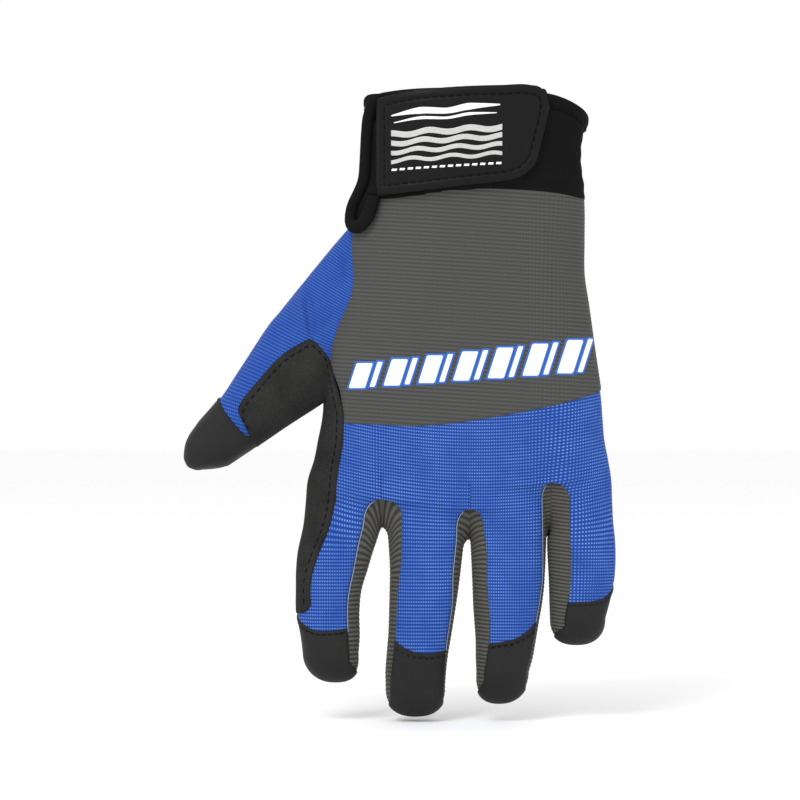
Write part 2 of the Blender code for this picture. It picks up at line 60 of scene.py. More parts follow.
def mix(a, b, share):
    # a straight line from a, at share 0, to b, at share 1
    return a + (b - a) * share


def bell(value, centre, wide):
    # exp(-((value - centre) / wide)^2): a rounded bump of height 1
    return np.exp(-((value - centre) / wide) ** 2)


def quarterRound(share):
    # height of a quarter circle: 0 at share 0, rising steeply at first, 1 at share 1
    return np.sqrt(np.clip(1 - (1 - np.clip(share, 0, 1)) ** 2, 0, 1))


def dome(count):
    # sines of even angles from 0 to a right angle: steps that close in evenly round a dome
    return np.sin(np.linspace(0, np.pi / 2, count))


def through(rows, at):
    # cubic Hermite curve through rows of (key, values...), with central-difference slopes
    rows = np.asarray(rows, float)
    keys, values = rows[:, 0], rows[:, 1:]
    slopes = np.gradient(values, keys, axis=0)
    at = np.clip(np.asarray(at, float), keys[0], keys[-1])
    i = np.clip(np.searchsorted(keys, at) - 1, 0, len(keys) - 2)
    step = keys[i + 1] - keys[i]
    t = ((at - keys[i]) / step)[..., None]
    step = step[..., None]
    found = (2 * t**3 - 3 * t**2 + 1) * values[i] + (t**3 - 2 * t**2 + t) * step * slopes[i]
    found = found + (3 * t**2 - 2 * t**3) * values[i + 1] + (t**3 - t**2) * step * slopes[i + 1]
    return np.moveaxis(found, -1, 0)


def roundedBox(angle, power):
    # across and outward of |x|^p + |y|^p = 1 at an angle in degrees
    c, s = np.cos(np.radians(angle)), np.sin(np.radians(angle))
    return np.sign(c) * np.abs(c) ** (2 / power), np.sign(s) * np.abs(s) ** (2 / power)


def angleOfAcross(across, power):
    # the angle on the upper half where the rounded box reaches this share across
    across = np.clip(across, -1, 1)
    return np.degrees(np.arccos(np.sign(across) * np.abs(across) ** (power / 2)))


def gridNormals(p):
    # unit normals of a grid of points, the cross product of its two directions: outward where columns
    # run left to right and rows run down as seen from outside
    n = np.cross(np.gradient(p, axis=0), np.gradient(p, axis=1))
    return n / np.maximum(np.linalg.norm(n, axis=2, keepdims=True), 1e-9)


def along(p, axis):
    # distance travelled over the grid in one direction
    step = np.linalg.norm(np.diff(p, axis=axis), axis=2)
    zero = np.zeros((1, p.shape[1]) if axis == 0 else (p.shape[0], 1))
    return np.concatenate([zero, np.cumsum(step, axis=axis)], axis=axis)


def pathLength(path):
    # distance travelled along a line of points
    return np.concatenate([[0], np.cumsum(np.linalg.norm(np.diff(path, axis=0), axis=1))])


def numbered(path):
    # a line of points as rows for `through`, keyed 0, 1, 2 and so on
    return np.column_stack([np.arange(len(path)), np.asarray(path, float)])


def readRows(p, place, at):
    # rows of points read at new places along each row; `place` says where the row's own points lie
    return np.array([np.column_stack([np.interp(a, s, row[:, c]) for c in range(3)])
                     for row, s, a in zip(p, place, at)])


def evenAcross(p, count):
    # the same rows, resampled to points an even distance apart
    length = along(p, 1)
    return readRows(p, length, np.linspace(0, 1, count) * length[:, -1:])


def newPiece(name, points, faces, material, uv=None):
    # points in millimetres, faces as one array of quads or triangles
    mesh = bpy.data.meshes.new(name)
    points = np.ascontiguousarray(points * mm, np.float32)
    faces = np.ascontiguousarray(faces, np.int32)
    mesh.vertices.add(len(points))
    mesh.vertices.foreach_set("co", points.ravel())
    mesh.loops.add(faces.size)
    mesh.loops.foreach_set("vertex_index", faces.ravel())
    mesh.polygons.add(len(faces))
    mesh.polygons.foreach_set("loop_start", np.arange(0, faces.size, faces.shape[1], dtype=np.int32))
    if uv is not None:
        layer = mesh.uv_layers.new(name="cloth")
        layer.data.foreach_set("uv", np.ascontiguousarray(uv[faces.ravel()], np.float32).ravel())
    mesh.update()
    mesh.validate()
    mesh.polygons.foreach_set("use_smooth", np.full(len(mesh.polygons), True))
    mesh.materials.append(material)
    piece = bpy.data.objects.new(name, mesh)
    gloveBits.objects.link(piece)
    return piece


def gridFaces(rows, cols, start=0):
    # four corners of each cell of a grid of points, row after row, numbered from start
    a = start + np.arange((rows - 1) * cols).reshape(rows - 1, cols)[:, :-1].ravel()
    return np.stack([a, a + cols, a + cols + 1, a + 1], 1)


def sheetMesh(p, thick=0.9, lift=0.0, roll=(1, 1, 1, 1), rollDeep=0.8, rollWide=1.5, rise=None, uv=None,
              flip=False, pole=None):
    # a closed sheet on a grid: an outer face, an inner face `thick` below it and a rim; its left, right, top
    # and bottom edges turn inwards by a quarter round, like the edge of a sewn panel; `pole` is the
    # direction of the last row where it closes to a point
    if flip:
        p = p[:, ::-1]
        uv = None if uv is None else uv[:, ::-1]
        rise = None if rise is None else rise[:, ::-1]
        roll = (roll[1], roll[0], roll[2], roll[3])
    n = gridNormals(p)
    s, t = along(p, 1), along(p, 0)
    near = np.ones((len(p), 1))
    if pole is not None:
        left = (t[-1:] - t).max(1, keepdims=True)
        near = ease(1.0, 5.0, left)
        n = mix(np.array(pole, float), n, ease(0, 0.8, left)[..., None])
        n /= np.linalg.norm(n, axis=2, keepdims=True)
    edges = (s, s[:, -1:] - s, t, t[-1:] - t)
    drop = 0
    for k in range(4):
        turn = 1 - quarterRound(edges[k] / rollWide)
        drop = drop + roll[k] * rollDeep * turn * (near if k < 2 else 1)
    height = lift - drop + (0 if rise is None else rise * (near if pole is not None else 1))
    outer = p + n * height[..., None]
    inner = p + n * (lift - drop - thick)[..., None]
    rows, cols = p.shape[:2]
    total = rows * cols
    if uv is None:
        uv = np.stack([s, t], 2)
    front = gridFaces(rows, cols)
    back = gridFaces(rows, cols, total)[:, ::-1]
    ring = np.concatenate([
        np.arange(cols),
        np.arange(1, rows) * cols + cols - 1,
        (rows - 1) * cols + np.arange(cols - 2, -1, -1),
        np.arange(rows - 2, 0, -1) * cols,
    ])
    after = np.roll(ring, -1)
    rim = np.stack([ring, after, after + total, ring + total], 1)
    points = np.concatenate([outer.reshape(-1, 3), inner.reshape(-1, 3)])
    return points, np.concatenate([front, back, rim]), np.concatenate([uv.reshape(-1, 2)] * 2)


def closePole(piece):
    # merge the points that fall together where a sheet closes on itself
    work = bmesh.new()
    work.from_mesh(piece.data)
    bmesh.ops.remove_doubles(work, verts=work.verts, dist=0.004 * mm)
    work.to_mesh(piece.data)
    work.free()
    return piece


def addSheet(name, p, material, **more):
    # one piece from one sheet
    points, faces, uv = sheetMesh(p, **more)
    piece = newPiece(name, points, faces, material, uv)
    return closePole(piece) if more.get("pole") is not None else piece


def addSheets(name, grids, material, **more):
    # several small sheets in one piece
    made = [sheetMesh(g, **more) for g in grids]
    starts = np.cumsum([0] + [len(m[0]) for m in made[:-1]])
    return newPiece(name, np.concatenate([m[0] for m in made]),
                    np.concatenate([m[1] + s for m, s in zip(made, starts)]),
                    material, np.concatenate([m[2] for m in made]))


def addTube(name, path, radius, material, sides):
    # a round cord along a path, its ends closed by shrinking rings
    path = np.asarray(path, float)
    d = np.gradient(path, axis=0)
    d /= np.linalg.norm(d, axis=1, keepdims=True)
    up = np.cross(d, np.array([0.13, 0.2, 0.97]))
    up /= np.linalg.norm(up, axis=1, keepdims=True)
    side = np.cross(d, up)
    extra = 3
    caps = np.sin(np.linspace(0.08, 1, extra + 1)[:-1] * np.pi / 2)
    r = radius * np.concatenate([caps, np.ones(len(path)), caps[::-1]])
    start = path[0] - d[0] * radius * np.sqrt(1 - caps[:, None] ** 2)
    end = path[-1] + d[-1] * radius * np.sqrt(1 - caps[::-1, None] ** 2)
    path = np.concatenate([start, path, end])
    up, side = (np.pad(v, ((extra, extra), (0, 0)), mode="edge") for v in (up, side))
    a = (np.arange(sides) * 2 * np.pi / sides)[None, :, None]
    rings = path[:, None] + r[:, None, None] * (np.cos(a) * up[:, None] + np.sin(a) * side[:, None])
    points = np.concatenate([rings.reshape(-1, 3), path[:1], path[-1:]])
    rows = len(path)
    i = np.arange(rows - 1)[:, None] * sides
    j = np.arange(sides)[None]
    k = (j + 1) % sides
    faces = np.stack([i + j, i + k, i + sides + k, i + sides + j], 2).reshape(-1, 4)
    # one fan of triangles closes each end
    last, endRing = len(points), (rows - 1) * sides
    first = np.stack([j[0], np.full(sides, last - 2), k[0]], 1)
    final = np.stack([endRing + k[0], np.full(sides, last - 1), endRing + j[0]], 1)
    faces = np.concatenate([faces[:, [0, 1, 2]], faces[:, [0, 2, 3]], first, final])
    length = pathLength(path)
    girth = np.arange(sides)[None] / sides * 2 * np.pi * radius
    uv = np.stack(np.broadcast_arrays(girth, length[:, None]), 2)
    uv = np.concatenate([uv.reshape(-1, 2), [[0, 0], [0, length[-1]]]])
    return newPiece(name, points, faces, material, uv)


def addStitches(name, path, normal, material, long=1.9, gap=0.8, radius=0.24, sink=0.1):
    # short thread bars end to end along a path: each is a six-sided bead, stretched and sunk a little
    path, normal = np.asarray(path, float), np.asarray(normal, float)
    s = pathLength(path)
    count = max(1, int((s[-1] - gap) // (long + gap)))
    mid = (np.arange(count) + 0.5) * s[-1] / count
    at = lambda v, w: np.stack([np.interp(w, s, v[:, c]) for c in range(3)], 1)
    centre = at(path, mid)
    t = at(path, mid + long / 2) - at(path, mid - long / 2)
    t /= np.linalg.norm(t, axis=1, keepdims=True)
    n = at(normal, mid)
    n -= t * (n * t).sum(1, keepdims=True)
    n /= np.linalg.norm(n, axis=1, keepdims=True)
    b = np.cross(n, t)
    x = np.array([-1, -0.9, -0.6, 0, 0.6, 0.9, 1]) * long / 2
    r = np.array([0.05, 0.55, 0.9, 1, 0.9, 0.55, 0.05]) * radius
    a = np.arange(6) * np.pi / 3
    local = np.broadcast_arrays(x[:, None], r[:, None] * np.cos(a), r[:, None] * np.sin(a))
    local = np.stack(local, 2).reshape(-1, 3)
    bend = sink * (1 - (local[:, 0] / (long / 2)) ** 2)
    points = centre[:, None] + local[None, :, :1] * t[:, None] + local[None, :, 1:2] * b[:, None]
    points = points + (local[None, :, 2:] + bend[None, :, None] - sink) * n[:, None]
    rows = len(x)
    i = np.arange(rows - 1)[:, None] * 6
    j = np.arange(6)[None]
    k = (j + 1) % 6
    one = np.stack([i + j, i + k, i + 6 + k, i + 6 + j], 2).reshape(-1, 4)
    one = np.concatenate([one[:, [0, 1, 2]], one[:, [0, 2, 3]],
                          [[0, 2, 1], [0, 3, 2], [0, 4, 3], [0, 5, 4]],
                          [[36, 37, 38], [36, 38, 39], [36, 39, 40], [36, 40, 41]]])
    faces = (one[None] + (np.arange(count) * rows * 6)[:, None, None]).reshape(-1, 3)
    return newPiece(name, points.reshape(-1, 3), faces, material)


def attach(piece, slot, place, *nodes):
    # place is a body, or (body, body, start, end) in millimetres for cloth over a joint, which is only baked
    # in place
    if isinstance(place, str):
        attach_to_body(piece, place)
    else:
        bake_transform(piece)
    if nodes:
        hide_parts(*nodes)
    return piece


def linear(hexColour):
    # a screen colour as linear light: c / 12.92 below 0.04045, else ((c + 0.055) / 1.055)^2.4
    c = np.array([int(hexColour[i:i + 2], 16) / 255 for i in (1, 3, 5)])
    return tuple(np.where(c <= 0.04045, c / 12.92, ((c + 0.055) / 1.055) ** 2.4)) + (1.0,)


def addNode(tree, kind, links=(), **settings):
    # one node: links is a list of (input, node or socket or value), settings are its attributes
    node = tree.nodes.new("ShaderNode" + kind)
    for key, value in settings.items():
        setattr(node, key, value)
    for key, value in links:
        if isinstance(value, bpy.types.Node):
            value = value.outputs[0]
        if isinstance(value, bpy.types.NodeSocket):
            tree.links.new(value, node.inputs[key])
        else:
            node.inputs[key].default_value = value
    return node


def startMaterial(name, **values):
    # a new material with its tree and shader, whose inputs take the given values
    material = bpy.data.materials.new(name)
    material.use_nodes = True
    tree = material.node_tree
    shader = tree.nodes["Principled BSDF"]
    for key, value in values.items():
        shader.inputs[key].default_value = value
    return material, tree, shader


def dress(tree, shader, share, dark, light, height, strength, deep):
    # colour between two tones by `share`, and a bump `deep` millimetres high from `height`
    colour = addNode(tree, "Mix", [(0, share), (6, dark), (7, light)], data_type="RGBA")
    tree.links.new(colour.outputs[2], shader.inputs["Base Color"])
    bump = addNode(tree, "Bump", [("Height", height), ("Strength", strength), ("Distance", deep * mm)])
    tree.links.new(bump.outputs[0], shader.inputs["Normal"])


def ribbedKnit(name, valleyShade, body, crestHighlight, dash=0.9, dots=1.0):
    # warp-knit polyester spandex with raised cross ribs: U runs along a rib in millimetres, V counts
    # ribs; crests get a painted highlight in short dashes where the loops show, and valleys get painted shade
    sheen = {"Specular IOR Level": 0.15, "Sheen Weight": 0.06, "Sheen Roughness": 0.4}
    m, tree, shader = startMaterial(name, Roughness=0.9, **sheen)
    uv = addNode(tree, "UVMap", uv_map="cloth")
    parts = addNode(tree, "SeparateXYZ", [(0, uv)])
    turn = addNode(tree, "Math", [(0, parts.outputs[1]), (1, 2 * math.pi)], operation="MULTIPLY")
    wave = addNode(tree, "Math", [(0, turn)], operation="COSINE")
    rib = addNode(tree, "MapRange", [(0, wave), (1, -1.0), (2, 1.0)])
    loops = addNode(tree, "Math", [(0, parts), (1, 2 * math.pi / dash)], operation="MULTIPLY")
    loop = addNode(tree, "Math", [(0, loops)], operation="SINE")
    patchy = addNode(tree, "TexNoise", [("Vector", uv), ("Scale", 0.09), ("Detail", 3.0)])
    where = addNode(tree, "MapRange", [(0, patchy), (1, 0.22), (2, 0.62), (3, 0.25), (4, 1.0)])
    # painted highlight: short bright dashes on the rib crests, patchy across the cloth, move the colour
    # towards the crest highlight colour
    dotted = addNode(tree, "MapRange", [(0, loop), (1, -0.3), (2, 0.8), (4, dots)])
    top = addNode(tree, "MapRange", [(0, wave), (1, -0.25), (2, 0.8)])
    lit = addNode(tree, "Math", [(0, dotted), (1, top)], operation="MULTIPLY")
    lit = addNode(tree, "Math", [(0, lit), (1, where)], operation="MULTIPLY")
    # painted shade: each rib valley darkens from the body colour to the valley shade colour
    base = addNode(tree, "Mix", [(0, rib), (6, linear(valleyShade)), (7, linear(body))], data_type="RGBA")
    fibre = addNode(tree, "TexNoise", [("Vector", uv), ("Scale", 2.6), ("Detail", 4.0)])
    height = addNode(tree, "Math", [(0, fibre), (1, 0.35), (2, loop)], operation="MULTIPLY_ADD")
    dress(tree, shader, lit, base.outputs[2], linear(crestHighlight), height, 0.25, 0.12)
    return m


def grainedHide(name, dark, light, grain, rough, bumpDeep, shine=0.2, spread=0.12):
    # synthetic leather or suede: a cell grain of `grain` millimetres with finer pores, patchy gloss
    m, tree, shader = startMaterial(name, **{"Specular IOR Level": shine})
    spot = addNode(tree, "TexCoord").outputs["Object"]
    cells = addNode(tree, "TexVoronoi", [("Vector", spot), ("Scale", 1 / (grain * mm))])
    pores = addNode(tree, "TexNoise", [("Vector", spot), ("Scale", 2.2 / (grain * mm)), ("Detail", 5.0)])
    cloud = addNode(tree, "TexNoise", [("Vector", spot), ("Scale", 90.0), ("Detail", 4.0)])
    tone = addNode(tree, "Math", [(0, cloud), (1, 0.6), (2, pores)], operation="MULTIPLY_ADD")
    share = addNode(tree, "MapRange", [(0, tone), (1, 0.5), (2, 1.1)])
    glossRange = [(0, cloud), (1, 0.3), (2, 0.7), (3, rough - spread), (4, rough + spread)]
    gloss = addNode(tree, "MapRange", glossRange)
    tree.links.new(gloss.outputs[0], shader.inputs["Roughness"])
    height = addNode(tree, "Math", [(0, pores), (1, 0.7), (2, cells)], operation="MULTIPLY_ADD")
    dress(tree, shader, share, linear(dark), linear(light), height, 0.5, bumpDeep)
    return m


def plainFinish(name, tone, rough, grain=0.6, deep=0.05, **values):
    # thread, print film or tape: one tone with a fine tooth
    m, tree, shader = startMaterial(name, Roughness=rough, **{"Specular IOR Level": 0.2, **values})
    spot = addNode(tree, "TexCoord").outputs["Object"]
    tooth = addNode(tree, "TexNoise", [("Vector", spot), ("Scale", 1 / (grain * mm)), ("Detail", 3.0)])
    shade = addNode(tree, "MapRange", [(0, tooth), (1, 0.3), (2, 0.7), (3, 0.82), (4, 1.0)])
    dress(tree, shader, shade, (0, 0, 0, 1), linear(tone), tooth, 0.4, deep)
    return m


# each knit: painted shade colour for the rib valleys, the body colour, painted highlight colour for the rib
# crests
blueKnit = ribbedKnit("royalBlueRibKnit", "#1b3b86", "#254b9a", "#6c94da")
thumbKnit = ribbedKnit("royalBlueFineRibKnit", "#1a3a85", "#264c9b", "#5f87cf", dots=0.5)
greyKnit = ribbedKnit("greyRibKnit", "#3f3f3e", "#4a4a49", "#5a5a59", dots=0.6)
webKnit = ribbedKnit("warmGreyRibKnit", "#303331", "#55524b", "#6a655d", dots=0.6)
suede = grainedHide("blackSyntheticSuede", "#101010", "#333332", 0.8, 0.85, 0.09, shine=0.12)
hide = grainedHide("blackSyntheticLeather", "#141414", "#262626", 0.7, 0.6, 0.05, shine=0.18)
palmHide = grainedHide("blackPalmLeather", "#161616", "#282828", 0.8, 0.65, 0.07, shine=0.2)
neoprene = grainedHide("blackKnitNeoprene", "#0b0b0b", "#181818", 0.5, 0.9, 0.06, shine=0.06)
strapSkin = grainedHide("blackStrapRubber", "#0b0b0b", "#131313", 1.1, 0.5, 0.03, shine=0.12, spread=0.08)
hookTape = plainFinish("blackHookTape", "#151515", 0.95, 0.5, 0.3, **{"Specular IOR Level": 0.05})
blackThread = plainFinish("blackPolyesterThread", "#0b0b0b", 0.7, **{"Specular IOR Level": 0.1})
# pale thread colour: a painted highlight along the finger seams, carried on real overlock thread
seamHighlightThread = plainFinish("paleSeamHighlightThread", "#8b9fb8", 0.8)
whiteFilm = plainFinish("whiteHeatTransferFilm", "#f2f4f6", 0.45)
blueFilm = plainFinish("blueHeatTransferFilm", "#2f68c4", 0.5)
silverFilm = plainFinish("silverHeatTransferFilm", "#c4c4c2", 0.35, Metallic=0.3)
labelCloth = plainFinish("whiteWovenLabel", "#d8d8d4", 0.85)
print("materials made")

hand = {  # down, left, right, half depth, squareness of the section
    "rows": [(-8, -41.8, 41.2, 24.6, 2.4), (0, -41.6, 40.8, 24.4, 2.4), (12, -41.2, 39.9, 23.9, 2.4),
             (18, -41.2, 38.4, 23.5, 2.4),
             (28, -41.5, 37.9, 22.8, 2.4), (36, -42.4, 38.9, 22, 2.45), (45, -46, 39.4, 20.8, 2.5),
             (56, -49, 39.4, 20, 2.5), (70, -51, 39.5, 19, 2.5),
             (80, -53.5, 41, 18.5, 2.55), (90, -56.5, 42.4, 18, 2.6), (98, -58, 43.5, 17.5, 2.65),
             (106, -58.3, 44.7, 17.1, 2.7),
             (116, -57.2, 46.1, 16.6, 2.75), (124, -57.8, 46.7, 15.9, 2.8), (131, -59.2, 47.3, 15.2, 2.85),
             (139, -60.8, 48.8, 14.3, 2.9), (146, -63, 49.9, 13.4, 3), (154, -63.9, 50.3, 12.6, 3.1),
             (162, -64.6, 50.7, 12, 3.2),
             (174, -66, 51.4, 11.4, 3.2)],
    "greyLeft": [(36, -41), (45, -44.5), (56, -47.2), (75, -47.4), (79, -48.4), (86, -51.4), (90, -53.1),
                 (96, -54.9), (103, -55.2), (108, -53.4),
                 (112.5, -51.8), (120, -50.6), (130, -50.2), (146, -52.6)],
    "greyTop": [(-48, 41), (-38, 41.4), (-6.75, 38.6), (20.6, 38.6), (39.4, 40.6), (60, 41)],
    "knuckleSeam": [(-60, 125), (-50, 125.2), (-37, 125.6), (-24, 126.1), (-10, 125), (4, 123), (16, 120.9),
                    (32, 117.5), (45, 113.5), (50, 111)],
    "palmSide": -18, "columnTop": 146.475, "dip": 1.8, "dipWide": 4.2,
}
# arches between the fingers: x, back apex, depth where the gap opens, palm apex, how far the ribs fan
arches = [(-36, 153.2, 163.5, 160.5, 1.0), (-3.2, 156.9, 167.8, 163.5, 0.45), (27.0, 147, 164.7, 157.5, 0.0)]


def handSpot(angle, down, lift=0.0):
    # rounded-box section at each depth; angle 0 right side, 90 back, 180 left side, 270 palm
    left, right, deep, power = through(hand["rows"], down)
    across, back = roundedBox(angle, power)
    x = (left + right) / 2 + ((right - left) / 2 + lift) * across
    dips = sum(bell(x, a[0], hand["dipWide"]) * ease(128, a[1] + 3, down) for a in arches)
    high = (deep + lift) * back - hand["dip"] * dips * np.sign(back) * (1 - 0.4 * (back < 0))
    return np.stack(np.broadcast_arrays(x, -high, -np.asarray(down, float)), -1)


def handAngle(x, down, palm=False):
    # the section angle whose point lies over x, on the back or on the palm
    left, right, _, power = through(hand["rows"], down)
    angle = angleOfAcross((x - (left + right) / 2) / ((right - left) / 2), power)
    return 360 - angle if palm else angle


def backSpot(x, down, lift=0.0):
    # the point of the back surface over (x, down), raised along its own normal
    e = 0.4
    p = handSpot(handAngle(x, down), down)
    px = handSpot(handAngle(x + e, down), down) - handSpot(handAngle(x - e, down), down)
    pd = handSpot(handAngle(x, down + e), down + e) - handSpot(handAngle(x, down - e), down - e)
    n = np.cross(px, pd)
    n /= np.maximum(np.linalg.norm(n, axis=-1, keepdims=True), 1e-9)
    return p + n * np.where(n[..., 1:2] > 0, -1, 1) * np.asarray(lift)[..., None]


def sectionGrid(left, right, down, count=160):
    # hand surface between two edge angles on each row of depths, evenly spaced
    w = np.linspace(0, 1, count)[None]
    return handSpot(mix(np.asarray(left)[:, None], np.asarray(right)[:, None], w),
                    np.asarray(down)[:, None] + 0 * w)


def greyPhase(p):
    # ribs 1.48 mm apart, (depth - 0.065 x) / 1.48: they drop a little to the right
    return (-p[..., 2] - 0.065 * p[..., 0]) / 1.48


def knucklePhase(p, pitch=1.2, below=146.0):
    # ribs bowed as 0.0025 (x + 1)^2 over the knuckles, `pitch` millimetres apart on the fingers
    down, x = -p[..., 2], p[..., 0]
    bow = 0.0025 * (x + 1) ** 2 * (1 - ease(150, 176, down))
    # half a rib more than a whole number of ribs to the tops of the fingers
    return (np.minimum(down, below) + bow) * 121.5 / hand["columnTop"] + np.maximum(down - below, 0) / pitch


def ribs(phase, high):
    # broad flat crests and narrow valleys: cos(turn) - 0.2 cos(2 turn), one turn for each rib
    return high * (np.cos(2 * np.pi * phase) - 0.2 * np.cos(4 * np.pi * phase))


def fingerTop(x):
    # the valley between two ribs where the knuckle panel ends and the fingers begin
    return hand["columnTop"] - 0.0025 * (x + 1) ** 2


def aroundHand(p):
    # distance across the hand, in x on its faces and turning into depth at its sides
    side = ease(15, 48, p[..., 0]) - ease(35, 60, -p[..., 0])
    return p[..., 0] + 0.8 * p[..., 1] * side * (1 - 0.9 * ease(36, 44, -p[..., 0]))


def ribSheet(name, p, phase, high, material, **more):
    # a knitted sheet whose ribs are real relief; V of its map counts ribs, U is the way along them
    uv = np.stack([aroundHand(p), phase], 2)
    return addSheet(name, p, material, rise=ribs(phase, high), uv=uv, **more)


def backRing(down, cols, x):
    # points round the back at one depth, from x to the palm side, an even distance apart
    return evenAcross(sectionGrid([handAngle(x, down)], [hand["palmSide"]], [down]), cols)[0]


# the grey back panel, from under the cuff to the slanted knuckle seam
backPanel = {"rows": 380, "cols": 104, "rib": 0.05, "over": 0.55}


def makeBackPanel():
    # one ribbed sheet whose rows run from the cuff to the seam, wrapped round to the palm side
    cols = backPanel["cols"]
    ring = backRing(118.0, cols, -50.5)
    bottom = through(hand["knuckleSeam"], ring[:, 0])[0]
    top = backRing(38.0, cols, -41)
    topDown = through(hand["greyTop"], top[:, 0])[0] - 1.5
    r = np.linspace(0, 1, backPanel["rows"])[:, None]
    down = mix(topDown[None], bottom[None], r)
    left = handAngle(through(hand["greyLeft"], down[:, 0])[0], down[:, 0])
    w = evenWidths(left, np.full(len(left), float(hand["palmSide"])), down)
    p = handSpot(w, down)
    sheet = ribSheet("greyBackPanel", p, greyPhase(p), backPanel["rib"], greyKnit, lift=backPanel["over"],
                     roll=(1.2, 1, 0, 1.4), rollDeep=0.6)
    attach(sheet, "grey_fabric", "hand", "back_panel")


def evenAngles(left, right, down, cols, spot, steps):
    # edge angles to rows of angles whose points lie an even distance apart along the section
    fine = mix(left[:, None], right[:, None], np.linspace(0, 1, steps)[None])
    length = along(spot(fine, down[:, None] + 0 * fine), 1)
    return np.array([np.interp(np.linspace(0, s[-1], cols), s, row) for s, row in zip(length, fine)])


def evenWidths(left, right, down):
    # even angles on the hand's section, one row for each row of down
    return evenAngles(left, right, down[:, 0], down.shape[1], handSpot, 220)


makeBackPanel()

# the blue knuckle panel, from under the grey edge to the row where the fingers part
knucklePanel = {"rows": 190, "cols": 104, "rib": 0.05}


def makeKnucklePanel():
    # its lower edge depends on x and x on the lower edge, so three rounds settle both
    cols = knucklePanel["cols"]
    ring = backRing(118.0, cols, -50.5)
    topDown = through(hand["knuckleSeam"], ring[:, 0])[0] - 2.2
    x = ring[:, 0]
    for _ in range(3):
        down = mix(topDown[None], fingerTop(x)[None], np.linspace(0, 1, knucklePanel["rows"])[:, None])
        edge = through(hand["greyLeft"], down[:, 0])[0] - 3.5
        w = evenWidths(handAngle(edge, down[:, 0]), np.full(len(down), float(hand["palmSide"])), down)
        x = handSpot(w[-1], down[-1])[:, 0]
    # a hidden tongue below carries on behind the tops of the fingers
    down = np.concatenate([down, down[-1:] + np.linspace(0.12, 2.2, 8)[:, None]])
    w = np.concatenate([w, np.repeat(w[-1:], 8, 0)])
    p = handSpot(w, down)
    phase = knucklePhase(p)
    sink = np.concatenate([np.zeros(len(p) - 8), np.full(8, 0.5)])[:, None]
    sheet = addSheet("blueKnucklePanel", p, blueKnit, rise=ribs(phase, knucklePanel["rib"]) - sink,
                     uv=np.stack([aroundHand(p), phase], 2), roll=(1, 1, 0, 0))
    attach(sheet, "blue_fabric", "hand", "knuckle_panel")


makeKnucklePanel()
print("back and knuckles made")

